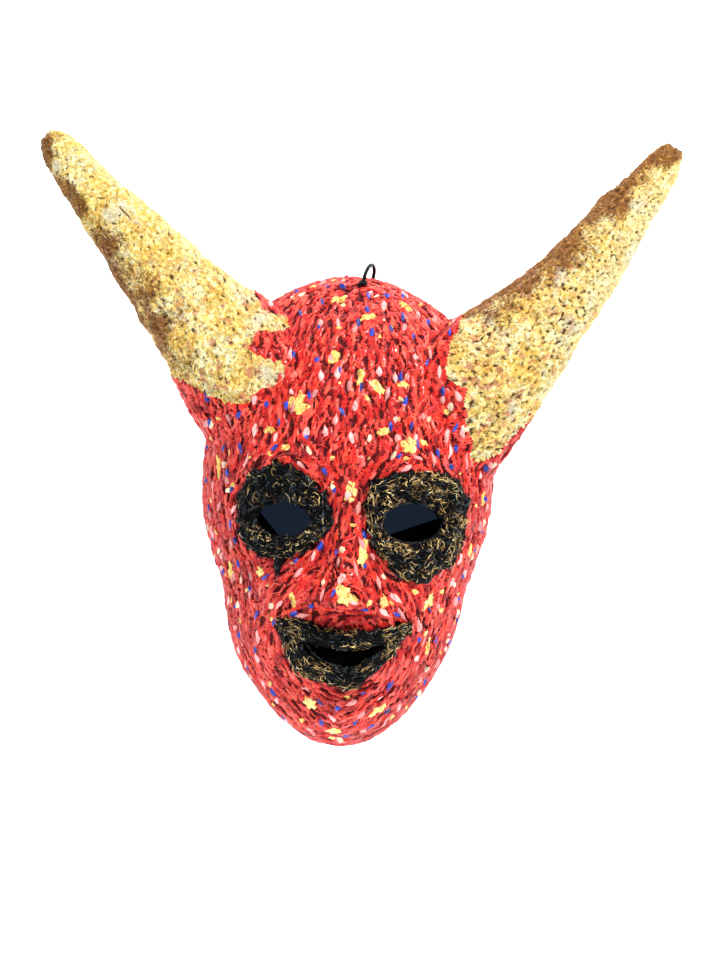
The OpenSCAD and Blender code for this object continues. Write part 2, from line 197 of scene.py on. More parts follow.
class Paint:
    """One material, made of a Principled shader and the nodes that feed it."""

    NAMES = {"specular_ior_level": "Specular IOR Level"}

    def __init__(self, name, roughness=0.5, **constants):
        self.material = bpy.data.materials.new(name)
        self.material.use_nodes = True
        self.tree = self.material.node_tree
        self.shader = self.tree.nodes["Principled BSDF"]
        self.shader.inputs["Roughness"].default_value = roughness
        for socket, value in constants.items():
            self.shader.inputs[self.NAMES.get(socket, socket.replace("_", " ").title())].default_value = value

    def node(self, kind, settings=None, inputs=None, output=0):
        """Adds a node, sets it up, then feeds its sockets with numbers, colours or links."""
        node = self.tree.nodes.new(kind)
        for key, value in (settings or {}).items():
            if key == "stops":
                self._set_stops(node.color_ramp, value)
            else:
                setattr(node, key, value)
        for key, value in (inputs or {}).items():
            self.feed(node.inputs[key], value)
        return Value(self, node.outputs[output])

    @staticmethod
    def _set_stops(ramp, stops):
        while len(ramp.elements) < len(stops):
            ramp.elements.new(1.0)
        for element, (place, colour) in zip(ramp.elements, stops):
            element.position = place
            element.color = colour

    def feed(self, socket, value):
        if isinstance(value, Value):
            self.tree.links.new(value.socket, socket)
        else:
            socket.default_value = value

    def mark(self, name):
        """A number stored on the mesh's points."""
        return self.node("ShaderNodeAttribute", {"attribute_name": name}, output="Fac")

    def place(self, stretch=(1, 1, 1)):
        """Where a point is on the object, in metres, stretched along each axis."""
        spot = self.node("ShaderNodeTexCoord", output="Object")
        return self.node("ShaderNodeVectorMath", {"operation": "MULTIPLY"}, {0: spot, 1: stretch})

    def grain(self, scale, detail=3.0, roughness=0.6, stretch=(1, 1, 1), distortion=0.0):
        return self.node(
            "ShaderNodeTexNoise", {},
            {"Vector": self.place(stretch), "Scale": scale, "Detail": detail,
             "Roughness": roughness, "Distortion": distortion}, output="Fac")

    def facets(self, scale, waver):
        """Painted light and shade for each small flat facet of crumpled leaf, as if each facet caught the
        light at its own angle, the facets' edges wavering.
        """
        swirl = self.node("ShaderNodeTexNoise", {}, {"Vector": self.place(), "Scale": 300.0}, output="Color")
        spot = self.node(
            "ShaderNodeVectorMath", {"operation": "MULTIPLY_ADD"},
            {0: swirl, 1: (waver, waver, waver), 2: self.place()})
        cell = self.node(
            "ShaderNodeTexVoronoi", {"feature": "F1"}, {"Vector": spot, "Scale": scale}, output="Color")
        return self.node("ShaderNodeSeparateColor", {}, {"Color": cell})

    def mix(self, share, first, second, blend="MIX"):
        """Goes from the first colour to the second as the share goes from 0 to 1."""
        return self.node(
            "ShaderNodeMix", {"data_type": "RGBA", "blend_type": blend},
            {"Factor": share, 6: first, 7: second}, output=2)

    def ramp(self, value, stops):
        return self.node("ShaderNodeValToRGB", {"stops": stops}, {"Fac": value})

    def bump(self, height, distance, strength=1.0):
        normal = self.node(
            "ShaderNodeBump", {},
            {"Height": height, "Distance": distance, "Strength": strength})
        self.feed(self.shader.inputs["Normal"], normal)

    def set(self, **sockets):
        for name, value in sockets.items():
            self.feed(self.shader.inputs[name.replace("_", " ").title()], value)
        return self.material


def colour(name):
    return tuple(getattr(sizes("colours"), name))


def tint(name, strength):
    """A named colour, lighter or darker."""
    return tuple(min(1.0, c * strength) for c in colour(name)[:3]) + (1.0,)


# ---------------------------------------------------------------- the mask's shape

# Radii of the rim's outline every 30 degrees, from the right round over the crown
OUTLINE = (77, 90, 119, 134, 122, 92, 80, 79, 104, 126, 99, 76)
# Reach of each rim from the middle of its eye, every 45 degrees from the right
RIM_REACH = {-1: (25, 25, 29, 29, 25, 25, 20, 20), 1: (29, 33, 26, 30, 24, 24, 30, 31)}
# Where each horn starts inside the head, passes halfway and ends
HORN_PATH = {
    -1: ((-35, -26, 51), (-102, -48, 126), (-168, -46, 200)),
    1: ((43, -26, 43), (108, -48, 121), (168, -46, 204)),
}
# How much further a horn's root spreads on the side of the crown than of the cheek
ROOT_LEAN = {-1: 0.5, 1: 1.1}
# Where the gold of each horn ends on the face and how it runs on past the horn, from the front
GOLD_EDGE = {
    -1: ((-130, 86), (-95, 73), (-79, 65), (-68, 60), (-58, 58), (-47, 68), (-35, 73), (-35, 80),
         (-48, 84), (-55, 89), (-50, 98), (-31, 102), (-33, 106), (-48, 110), (-60, 130), (-150, 260),
         (-250, 200)),
    1: ((66, 142), (58, 114), (55, 104), (47, 88), (49, 78), (59, 71), (61, 57), (63, 45), (64, 32), (78, 36),
        (96, 60), (260, 200), (160, 260)),
}
# The lips' outer edges, from left to right
UPPER_LIP = ((-36, -51), (-24, -50), (-12, -54), (0, -55.5), (12, -55.5), (22, -54), (30, -51.5), (35, -51.5))
LOWER_LIP = (
    (-36, -54), (-34, -61), (-32, -67), (-28, -75), (-21, -84), (-13, -83), (-6, -86), (0, -88), (7, -87),
    (12, -83), (19, -75), (26, -69), (29, -61), (34, -57), (35, -54),
)
# Height of the mouth's corners, and how far its upper and lower edges hang below them
MOUTH_Z = -61.0
MOUTH_SAG = 4.5
MOUTH_DROP = 15.0
# Height of the lips' middle
LIPS_Z = -69.0
# Everything before this plane is the front of the face, where the holes are
FRONT_Y = -30
# The cord's way from the knot in front, over the crown, to the rear hole
LOOP_ROUTE = (
    (4, -35.5, 128.5), (4.3, -36.5, 131.5), (5.2, -35.5, 134.5), (6.4, -32, 137.5), (7.8, -27, 139.3),
    (8.9, -21.5, 139.8), (9.6, -16.5, 138.6), (9.7, -13.5, 136.4), (9.2, -12.5, 134.2),
)
# Its way down the front hole, back under the crown and up the rear hole
INNER_ROUTE = (
    (4, -35.3, 128.2), (4, -34.3, 125.9), (4.1, -32.9, 122), (4.5, -31, 118.6), (5.6, -27.5, 117.4),
    (7, -22.5, 118.8), (8.3, -17.5, 121.2), (9, -13.5, 124.2), (9.2, -12.2, 127.6), (9.2, -12.3, 134.1),
)


def around(values, degrees):
    """A value given at even steps round a circle, read smoothly at any angle."""
    values = np.asarray(values, float)
    count = len(values)
    place = np.mod(degrees, 360.0) / 360.0 * count
    i = np.floor(place).astype(int)
    t = place - i
    a, b, c, d = (values[(i + k) % count] for k in (-1, 0, 1, 2))
    return b + t * ((c - a) / 2 + t * (a - 2.5 * b + 2 * c - d / 2 + t * (1.5 * (b - c) + (d - a) / 2)))


def mound(x, z, cx, cz, sx, sz):
    return np.exp(-((x - cx) / sx) ** 2 - ((z - cz) / sz) ** 2)


def nose(x, z):
    """How far the nose stands off the bowl."""
    down = np.clip((14 - z) / 54, 0, 1)
    under = np.where(z < -40, 7.0, 60.0)
    ridge = down ** 1.3 * np.exp(-(x / (6 + 7 * down)) ** 2) * np.exp(-(np.minimum(z + 40, 0) / under) ** 2)
    wings = mound(x, z, 11, -39, 6, 7) + mound(x, z, -11, -39, 6, 7)
    return np.maximum(0, sizes("face").nose * ridge + 6 * wings - 0.4)


def relief(x, z):
    """Brows, eye sockets, cheeks, the swell round the mouth and the chin."""
    side = np.abs(x)
    return (4 * mound(side, z, 30, 32, 24, 11) - 5 * mound(side, z, 33, 0, 16, 14)
            + 5 * mound(side, z, 40, -36, 15, 18) + 6 * mound(x, z, 0, -68, 30, 20)
            + 6 * mound(x, z, 0, -104, 22, 14))


def bowl(angle, tau, inset=0.0, nosed=True):
    """Points of the bowl: tau runs from 0 in the middle to 90 at the rim."""
    face = sizes("face")
    s = np.sin(np.radians(tau)) ** (2 / face.power)
    c = np.maximum(np.cos(np.radians(tau)), 0) ** (2 / face.power)
    reach = (around(OUTLINE, angle) - inset) * s
    x, z = reach * np.cos(np.radians(angle)), reach * np.sin(np.radians(angle))
    y = -c * (face.depth - inset + relief(x, z) + (nose(x, z) if nosed else 0))
    return np.stack([x, y, z], axis=-1)


def on_face(x, z, lift=0.0):
    """The skin's outer face over a point of the wall."""
    face = sizes("face")
    x, z = np.asarray(x, float), np.asarray(z, float)
    s = np.minimum(1, np.hypot(x, z) / around(OUTLINE, np.degrees(np.arctan2(z, x))))
    c = (1 - s ** face.power) ** (1 / face.power)
    return np.stack([x, -c * (face.depth + relief(x, z) + nose(x, z)) - lift, z], axis=-1)


def inside_bowl(points, inset):
    """Where points lie inside the bowl, shrunk by an inset."""
    face = sizes("face")
    x, y, z = points[..., 0], points[..., 1], points[..., 2]
    s = np.hypot(x, z) / (around(OUTLINE, np.degrees(np.arctan2(z, x))) - inset)
    c = np.maximum(-y, 0) / (face.depth - inset + relief(x, z))
    return s ** face.power + c ** face.power < 1


def face_grid(step, inset=0.0, nosed=True):
    """A grid over the whole bowl whose cells are all about the same size."""
    face = sizes("face")
    taus = np.linspace(0, 90, 400)
    s = np.sin(np.radians(taus)) ** (2 / face.power)
    c = np.cos(np.radians(taus)) ** (2 / face.power)
    run = np.concatenate([[0], np.cumsum(np.hypot(95 * np.diff(s), face.depth * np.diff(c)))])
    tall = int(2 * 1.2 * run[-1] / step)
    wide = int(2 * 0.85 * run[-1] / step)
    q, p = np.meshgrid(np.linspace(1, -1, tall), np.linspace(-1, 1, wide), indexing="ij")
    sideways = np.abs(p) > np.abs(q)
    radius = np.where(sideways, p, q)
    safe = np.where(radius == 0, 1, radius)
    turn = np.where(sideways, np.pi / 4 * q / safe, np.pi / 2 - np.pi / 4 * p / safe)
    x, z = radius * np.cos(turn), radius * np.sin(turn)
    tau = np.interp(np.hypot(x, z), run / run[-1], taus)
    return bowl(np.degrees(np.arctan2(z, x)), tau, inset, nosed)


def in_eye(x, z, side):
    """Less than 1 inside an eye hole."""
    o = sizes("openings")
    return np.hypot((x - side * o.eye_spacing / 2) / (o.eye_w / 2), z / (o.eye_h / 2))


def in_mouth(x, z):
    """True inside the mouth's opening."""
    u = np.clip(x / (sizes("openings").mouth_w / 2), -1, 1)
    fall = 1 - u * u
    return (z < MOUTH_Z - MOUTH_SAG * fall) & (z > MOUTH_Z - MOUTH_DROP * fall)


def rim_share(x, z, side):
    """How far out a point is in an eye's rim, 1 being the rim's outer edge."""
    dx = x - side * sizes("openings").eye_spacing / 2
    return np.hypot(dx, z) / around(RIM_REACH[side], np.degrees(np.arctan2(z, dx)))


def lip_share(x, z):
    """How far out a point is over the lips, 1 being about their outer edge."""
    return np.hypot(x / 38, (z - LIPS_Z) / 21)


def horn_axis(side, t):
    start, middle, end = (np.array(p, float) for p in HORN_PATH[side])
    bend = 2 * middle - (start + end) / 2
    t = np.asarray(t, float)[..., None]
    return (1 - t) ** 2 * start + 2 * t * (1 - t) * bend + t ** 2 * end


def horn_radius(t):
    h = sizes("horns")
    close = np.maximum(0, (t - 0.93) / 0.07)
    return (h.base_r + (h.tip_r - h.base_r) * t) * np.sqrt(np.maximum(0, 1 - 0.6 * close ** 2))


def inside_outline(x, z, corners):
    """Where points lie inside a closed outline."""
    inside = np.zeros(np.shape(x), bool)
    for (x1, z1), (x2, z2) in zip(corners, corners[1:] + corners[:1]):
        if z1 != z2:
            inside ^= ((z1 > z) != (z2 > z)) & (x < (x2 - x1) * (z - z1) / (z2 - z1) + x1)
    return inside


def in_gold(points, side):
    """Where the gold lies, its edge torn unevenly."""
    x = points[..., 0] + 2.6 * ripple(points, 9, 40 + side) + 1.3 * ripple(points, 2.5, 42 + side)
    z = points[..., 2] + 2.6 * ripple(points, 9, 44 + side) + 1.3 * ripple(points, 2.5, 46 + side)
    return inside_outline(x, z, GOLD_EDGE[side])


def ragged_line(corners, count, seed):
    """Points at even steps along a line through corners, pushed about a little."""
    corners = np.asarray(corners, float)
    run = np.concatenate([[0], np.cumsum(np.linalg.norm(np.diff(corners, axis=0), axis=1))])
    at = np.linspace(0, run[-1], count)
    line = np.stack([np.interp(at, run, corners[:, k]) for k in (0, 1)], -1)
    for _ in range(4):
        line[1:-1] = (line[:-2] + 2 * line[1:-1] + line[2:]) / 4
    flat = np.stack([line[:, 0], np.zeros(count), line[:, 1]], -1)
    push = np.stack([ripple(flat, 3.5, seed), ripple(flat, 3.5, seed + 9)], -1)
    return line + 0.9 * push


# ---------------------------------------------------------------- grids and strands

def unit(v):
    return v / np.maximum(np.linalg.norm(v, axis=-1, keepdims=True), 1e-9)


def ripple(points, size, seed):
    """Soft noise at each point, between about -1 and 1, with swells of a size in millimetres."""
    shift = Vector((seed * 7.31, seed * 3.17, seed * 5.73))
    flat = points.reshape(-1, 3) / size
    values = [noise.fractal(Vector(p) + shift, 0.8, 2.0, 2) for p in flat]
    return np.array(values).reshape(points.shape[:-1])


def blur(values, times, closed):
    for _ in range(times):
        padded = np.pad(values, ((1, 1), (0, 0)), mode="edge")
        values = (padded[:-2] + values + padded[2:]) / 3
        padded = np.pad(values, ((0, 0), (1, 1)), mode="wrap" if closed else "edge")
        values = (padded[:, :-2] + values + padded[:, 2:]) / 3
    return values


class Pulp:
    """A grid of points on a surface, with the height and tone of what is laid over it."""

    def __init__(self, points, outward, closed=False):
        self.points = points
        self.closed = closed
        if closed:
            along = np.gradient(points, axis=0)
            across = (np.roll(points, -1, axis=1) - np.roll(points, 1, axis=1)) / 2
        else:
            along, across = np.gradient(points, axis=(0, 1))
        normals = unit(np.cross(along, across))
        if np.sum(normals * outward) < 0:
            normals = -normals
        self.normals = normals
        self.steps = (np.linalg.norm(along, axis=-1).mean(), np.linalg.norm(across, axis=-1).mean())
        self.height = np.zeros(points.shape[:2])
        self.tone = np.full(points.shape[:2], 0.3)
        self.slot = np.zeros(points.shape[:2])

    def window(self, i, j, reach):
        """The grid rows and columns within a reach of a cell."""
        rows, cols = self.height.shape
        di, dj = (int(reach / step) + 2 for step in self.steps)
        r = np.arange(max(0, i - di), min(rows, i + di + 1))
        if self.closed:
            c = np.arange(j - dj, j + dj + 1) % cols
        else:
            c = np.arange(max(0, j - dj), min(cols, j + dj + 1))
        return np.ix_(r, c)

    def strand(self, i, j, way, length, width, thick, base, tone, bend=0.0, dig=False):
        """Lays one strand of pulp over a cell, or digs a slot of the same shape."""
        centre, normal = self.points[i, j], self.normals[i, j]
        along = way - way.dot(normal) * normal
        along /= max(np.linalg.norm(along), 1e-9)
        across = np.cross(normal, along)
        where = self.window(i, j, length / 2)
        offset = self.points[where] - centre
        u = offset @ along / (length / 2)
        v = (offset @ across + bend * u * u) / (width / 2)
        full = 1 - np.abs(u) ** 2.5 - v * v
        inside = full > 0
        rise = thick * np.sqrt(np.maximum(full, 0))
        height = self.height[where]
        if dig:
            deeper = inside & (base - rise < height)
            self.height[where] = np.where(deeper, base - rise, height)
            self.slot[where] = np.where(inside, np.minimum(1, 2 * full), self.slot[where])
            return
        higher = inside & (base + rise > height)
        self.height[where] = np.where(higher, base + rise, height)
        self.tone[where] = np.where(higher, tone, self.tone[where])
        self.slot[where] = np.where(higher, 0, self.slot[where])

    def shaped(self):
        return self.points + self.normals * self.height[..., None]

    def hollow(self):
        """How far each point lies under its neighbours, from 0 to 1."""
        return np.clip((blur(self.height, 3, self.closed) - self.height) / 0.45, 0, 1)


def make_mesh(name, points, faces, marks=None):
    """An object from points in millimetres, with a number for each point under each mark's name."""
    mesh = bpy.data.meshes.new(name)
    mesh.from_pydata((np.asarray(points) * MM).tolist(), [], faces)
    for key, values in (marks or {}).items():
        layer = mesh.attributes.new(key, "FLOAT", "POINT")
        layer.data.foreach_set("value", np.asarray(values, np.float32).ravel())
    mesh.shade_smooth()
    obj = bpy.data.objects.new(name, mesh)
    bpy.context.scene.collection.objects.link(obj)
    return obj


def grid_faces(rows, cols, closed=False, keep=None):
    """The cells of a grid as faces, leaving out those that keep says no to."""
    ids = np.arange(rows * cols).reshape(rows, cols)
    nxt = np.roll(ids, -1, axis=1) if closed else ids[:, 1:]
    here = ids if closed else ids[:, :-1]
    quads = np.stack([here[:-1], nxt[:-1], nxt[1:], here[1:]], axis=-1)
    quads = quads.reshape(-1, 4) if keep is None else quads[keep]
    return quads.tolist()


def faced(points, faces, outward):
    """The faces, turned over if the middle one has its back the outward way."""
    a, b, c = (points[faces[len(faces) // 2][k]] for k in range(3))
    if np.dot(np.cross(b - a, c - b), outward) > 0:
        return faces
    return [f[::-1] for f in faces]


def drop_loose(obj):
    """Deletes the points that no face uses."""
    bm = bmesh.new()
    bm.from_mesh(obj.data)
    bmesh.ops.delete(bm, geom=[v for v in bm.verts if not v.link_faces], context="VERTS")
    bm.to_mesh(obj.data)
    bm.free()


def dress(obj, material, body, slot, *nodes):
    """Gives a piece its material and its body, and hides the nodes that it stands for; the slot is not used.
    """
    obj.data.materials.clear()
    obj.data.materials.append(material)
    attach(obj, body)
    if nodes:
        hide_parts(*nodes)
    return obj


def turn_edges_in(obj, wall, rim_in):
    """Carries the open edges on: holes go back through the wall, and the rim goes in along the wall plane."""
    bm = bmesh.new()
    bm.from_mesh(obj.data)
    edge_mark = bm.verts.layers.float.get("edge")
    border = [e for e in bm.edges if e.is_boundary]
    new = bmesh.ops.extrude_edge_only(bm, edges=border)["geom"]
    for v in (g for g in new if isinstance(g, bmesh.types.BMVert)):
        if v.co.y > -1.5 * MM:
            flat = Vector((v.co.x, 0, v.co.z))
            v.co -= flat.normalized() * rim_in * MM
            v.co.y = 0
        else:
            v.co.y += wall * MM
            v[edge_mark] = 1.0
    bm.to_mesh(obj.data)
    bm.free()


# ---------------------------------------------------------------- materials

def red_pulp():
    """Varnished strands of red pulp, with dark red painted shade in the hollows and dug slots, and painted
    glints.
    """
    paint = Paint("varnished_red", coat_roughness=0.13, specular_ior_level=0.20)
    fibre = paint.grain(1500, 4, 0.7, stretch=(1, 1, 0.35))
    crumb = paint.grain(620, 4, 0.75, distortion=1.0)
    tone = paint.mark("tone") + 0.22 * (crumb - 0.5) + 0.12 * (fibre - 0.5)
    red, coral, maroon_and_shade = colour("red"), colour("coral"), colour("maroon_and_shade")
    base = paint.ramp(tone, (
        (0.00, tint("maroon_and_shade", 1.6)), (0.10, tint("red", 0.36)), (0.20, tint("red", 0.72)), (0.42, red),
        (0.56, (0.74, 0.048, 0.026, 1)), (0.72, coral), (0.84, (0.60, 0.026, 0.035, 1)),
        (1.0, (0.88, 0.24, 0.19, 1))))
    base = paint.mix(fibre.step(0.50, 0.72) * 0.55, base, tint("red", 0.42))
    blotch = paint.grain(38, 3)
    base = paint.mix(blotch.step(0.46, 0.70) * 0.55, base, tint("red", 0.50))
    bloom = crumb.step(0.62, 0.74) * paint.grain(70, 2).step(0.40, 0.60)
    base = paint.mix(bloom * 0.7, base, (0.86, 0.26, 0.18, 1))
    # Painted shade: the hollows and dug slots between strands are darkened to dark red, broken up by noise;
    # the varnish coat is thinned there too.
    hollow_shade = paint.mark("hollow") * 1.15 + paint.mark("slot") * 0.9
    hollow_shade = hollow_shade + 0.40 * (0.5 - crumb) + 0.2 * (fibre - 0.5)
    base = paint.mix(hollow_shade.step(0.25, 1.0), base, maroon_and_shade)
    base = paint.mix(paint.mark("edge").step(0.2, 0.8), base, colour("black"))
    # Painted glints: sparse clusters of pale pink specks, and pale gold specks that are gold flecks and
    # painted glints at once.
    painted_glint = paint.grain(2300, 1).step(0.70, 0.75) * paint.grain(160, 2).step(0.46, 0.60)
    base = paint.mix(painted_glint * 0.8, base, (0.85, 0.52, 0.48, 1))
    gold_speck_and_glint = paint.grain(1700, 1).step(0.70, 0.74) * paint.grain(90, 1).step(0.50, 0.62)
    base = paint.mix(gold_speck_and_glint, base, tint("gold", 0.95))
    rough = 0.30 + 0.3 * fibre + 0.2 * paint.mark("hollow")
    paint.bump(crumb * 0.8 + fibre * 0.4 + paint.grain(2600, 2) * 0.25, 0.0007, 0.8)
    return paint.set(base_color=base, roughness=rough, coat_weight=0.28 - 0.28 * hollow_shade.step(0.1, 0.6))


def gold_pulp():
    """Crumpled pulp rubbed with gold, with painted shade in the hollows and on each horn's side turned from
    the light, silvery and salmon in places.
    """
    paint = Paint("rubbed_gold")
    fine = paint.grain(1500, 3, 0.7)
    broad = paint.grain(60, 3, 0.6)
    facet = paint.facets(620, 0.0022)
    # Random tone, with painted highlights and shade from the facets; the ramp's palest stops are the
    # highlights.
    shade = broad + 0.62 * (fine - 0.5) + 0.42 * (facet - 0.5) + 0.07
    base = paint.ramp(shade, (
        (0.18, (0.50, 0.22, 0.04, 1)), (0.31, (0.88, 0.56, 0.13, 1)), (0.45, colour("gold")),
        (0.62, (1.0, 0.83, 0.34, 1)), (0.80, (1.0, 0.94, 0.62, 1))))
    base = paint.mix(paint.mark("pale") * 0.5, base, (0.96, 0.84, 0.55, 1))
    stroke = paint.grain(700, 5, 0.78, distortion=0.8)
    # This mark holds patches where the gold is rubbed thin and painted shade on the horn's side turned from
    # the light.
    brown = paint.mark("brown")
    worn = (stroke + 0.19 * brown).step(0.61, 0.645)
    base = paint.mix(worn * (0.55 + 0.45 * brown), base, tint("umber_and_shade", 1.1))
    mottle = paint.grain(430, 5, 0.8)
    base = paint.mix((brown + 2.6 * (mottle - 0.5)).step(0.30, 0.95) * 0.60, base, (0.40, 0.165, 0.03, 1))
    wrinkle = paint.grain(330, 6, 0.72, distortion=2.0).away(0.5)
    line = 1.0 - wrinkle.step(0.003, 0.018)
    base = paint.mix(line * (0.55 + 0.4 * brown), base, tint("umber_and_shade", 1.1))
    wide = 1.0 - paint.grain(120, 5, 0.7, distortion=1.5).away(0.5).step(0.002, 0.012)
    base = paint.mix(wide * (0.5 + 0.5 * brown), base, tint("umber_and_shade", 0.8))
    silver = paint.mark("silver") * fine.step(0.35, 0.55)
    base = paint.mix(silver * 0.85, base, colour("silver"))
    salmon = paint.mark("salmon") * paint.grain(200, 3).step(0.56, 0.62)
    base = paint.mix(salmon * 0.75, base, (0.66, 0.24, 0.13, 1))
    # Painted shade: the hollows, the slots and the horn's side turned from the light are darkened, broken up
    # by noise, and made less metallic.
    hollow_shade = paint.mark("hollow") * 1.0 + paint.mark("slot") + 0.5 * (fine - 0.5) + 0.2 * brown
    base = paint.mix(hollow_shade.step(0.52, 1.1), base, tint("umber_and_shade", 0.9))
    metal = 0.66 - 0.5 * hollow_shade.step(0.52, 1.1) - 0.3 * salmon - 0.3 * worn
    rough = 0.22 + 0.28 * fine + 0.15 * brown
    paint.bump(fine * 0.4 + stroke * 0.35 + facet * 0.55 - 0.3 * line - 0.3 * wide, 0.0014, 1.0)
    return paint.set(base_color=base, roughness=rough, metallic=metal)


def gold_leaf():
    """Thin gold leaf that has wrinkled over the strands."""
    paint = Paint("wrinkled_leaf")
    fine = paint.grain(1500, 3, 0.7)
    facet = paint.facets(700, 0.002)
    # Painted highlights and shade from the facets, mixed with random tone.
    base = paint.ramp(paint.mark("tone") * 0.25 + 0.4 * facet + 0.35 * fine, (
        (0.15, tint("gold", 0.62)), (0.45, colour("gold")), (0.75, (1.0, 0.86, 0.42, 1))))
    crack = paint.grain(420, 5, 0.75, distortion=1.0)
    hole = crack.step(0.62, 0.66)
    line = 1.0 - crack.away(0.5).step(0.002, 0.014)
    base = paint.mix(hole * 0.8 + line * 0.35, base, tint("umber_and_shade", 1.5))
    paint.bump(fine * 0.5 + facet * 0.6 - 0.4 * line, 0.0007, 0.9)
    return paint.set(base_color=base, roughness=0.30 + 0.3 * fine, metallic=0.62 - 0.4 * hole)


def flake_paper(name, main):
    """Small scraps of dyed paper under varnish."""
    paint = Paint(name, coat_weight=0.3, coat_roughness=0.2)
    streak = paint.grain(900, 3, stretch=(1, 1, 0.4))
    tone = paint.mark("tone") * 0.6 + streak * 0.4
    base = paint.ramp(tone, (
        (0.15, tint(main, 0.55)), (0.4, colour(main)), (0.62, tint(main, 1.25)), (0.85, tint(main, 1.6))))
    paint.bump(streak, 0.0004, 0.6)
    return paint.set(base_color=base, roughness=0.30 + 0.35 * streak)


def black_pulp():
    """Black strands, some of them gilded, the palest grey-blue with painted highlights."""
    paint = Paint("black_strands", coat_weight=0.05, coat_roughness=0.12, specular_ior_level=0.12)
    fine = paint.grain(1400, 3, 0.7)
    gilt = (paint.mark("gilt") + 0.5 * (paint.grain(500, 2) - 0.5)).step(0.40, 0.62)
    # Painted highlights: the palest strands are turned grey-blue.
    pale = paint.mark("tone").step(0.72, 0.95) * 0.8
    dark = paint.mix(fine.step(0.5, 0.8), colour("black"), (0.006, 0.007, 0.010, 1))
    dark = paint.mix(pale, dark, (0.10, 0.12, 0.13, 1))
    bright = paint.ramp(paint.mark("tone"), (
        (0.0, (0.08, 0.045, 0.025, 1)), (0.3, (0.22, 0.13, 0.055, 1)), (0.6, (0.52, 0.35, 0.14, 1)),
        (0.85, (0.84, 0.62, 0.26, 1)), (1.0, (0.80, 0.70, 0.50, 1))))
    base = paint.mix(gilt, dark, bright)
    paint.bump(fine, 0.0003, 0.6)
    return paint.set(base_color=base, roughness=0.30 + 0.35 * fine, metallic=gilt * 0.45)


def waxed_cord():
    """Black waxed cord with a fine twist."""
    paint = Paint("waxed_cord", coat_weight=0.06, coat_roughness=0.2, specular_ior_level=0.15)
    twist = paint.node(
        "ShaderNodeTexWave", {"wave_type": "BANDS", "bands_direction": "DIAGONAL"},
        {"Vector": paint.place(), "Scale": 700.0, "Distortion": 1.5, "Detail": 2.0}, output="Fac")
    lint = paint.grain(2500, 2)
    base = paint.mix(twist * 0.5 + lint * 0.3, (0.0015, 0.0015, 0.002, 1), (0.009, 0.009, 0.011, 1))
    paint.bump(twist + lint * 0.5, 0.00012, 0.5)
    return paint.set(base_color=base, roughness=0.40 + 0.3 * lint)


def shell_paint():
    """Pasted paper painted navy black, with the paper's grey at worn edges."""
    paint = Paint("shell_paint")
    fine = paint.grain(800, 3)
    broad = paint.grain(40, 3)
    base = paint.mix(broad.step(0.35, 0.7), colour("navy"), tint("navy", 1.9))
    worn = (paint.mark("strip") + 0.6 * (fine - 0.5)).step(0.75, 1.0) * broad.step(0.4, 0.6)
    base = paint.mix(worn * 0.5, base, (0.09, 0.085, 0.08, 1))
    paint.bump(fine * 0.6 + paint.grain(260, 2) * 0.5, 0.0004, 0.7)
    return paint.set(base_color=base, roughness=0.55 + 0.3 * fine)


def brown_card():
    paint = Paint("brown_card")
    streak = paint.grain(600, 3, stretch=(1, 1, 0.2))
    base = paint.ramp(streak, ((0.3, (0.30, 0.19, 0.10, 1)), (0.7, (0.46, 0.32, 0.19, 1))))
    paint.bump(streak, 0.0003, 0.5)
    return paint.set(base_color=base, roughness=0.75 + 0.15 * streak)


def plain_pulp():
    paint = Paint("plain_pulp")
    lump = paint.grain(300, 4, 0.7)
    base = paint.ramp(lump, ((0.3, (0.34, 0.30, 0.25, 1)), (0.7, (0.56, 0.52, 0.45, 1))))
    paint.bump(lump, 0.001, 0.8)
    return paint.set(base_color=base, roughness=0.8 + 0.15 * lump)


def one_sided(name, base, glow=0.0):
    """A plain stage surface that is seen from its front only."""
    paint = Paint(name)
    patch = paint.grain(3, 3)
    shade = paint.mix(patch.step(0.3, 0.8), tuple(c * 0.985 for c in base[:3]) + (1,), base)
    paint.set(base_color=shade, roughness=0.9, emission_color=shade)
    paint.shader.inputs["Emission Strength"].default_value = glow
    clear = paint.node("ShaderNodeBsdfTransparent")
    back = paint.node("ShaderNodeNewGeometry", output="Backfacing")
    both = paint.node(
        "ShaderNodeMixShader", {}, {0: back, 1: Value(paint, paint.shader.outputs[0]), 2: clear})
    end = next(n for n in paint.tree.nodes if n.type == "OUTPUT_MATERIAL")
    paint.feed(end.inputs["Surface"], both)
    return paint.material


# ---------------------------------------------------------------- cord

def cord_curve(name, route, diameter):
    """A smooth round cord through the points of a route."""
    curve = bpy.data.curves.new(name, "CURVE")
    curve.dimensions = "3D"
    curve.bevel_depth = diameter / 2
    curve.bevel_resolution = 5
    curve.resolution_u = 10
    spline = curve.splines.new("NURBS")
    spline.points.add(len(route) - 1)
    for point, place in zip(spline.points, route):
        point.co = (*(Vector(place) * MM), 1.0)
    spline.order_u = 3
    spline.use_endpoint_u = True
    curve.use_fill_caps = True
    obj = bpy.data.objects.new(name, curve)
    bpy.context.scene.collection.objects.link(obj)
    return obj


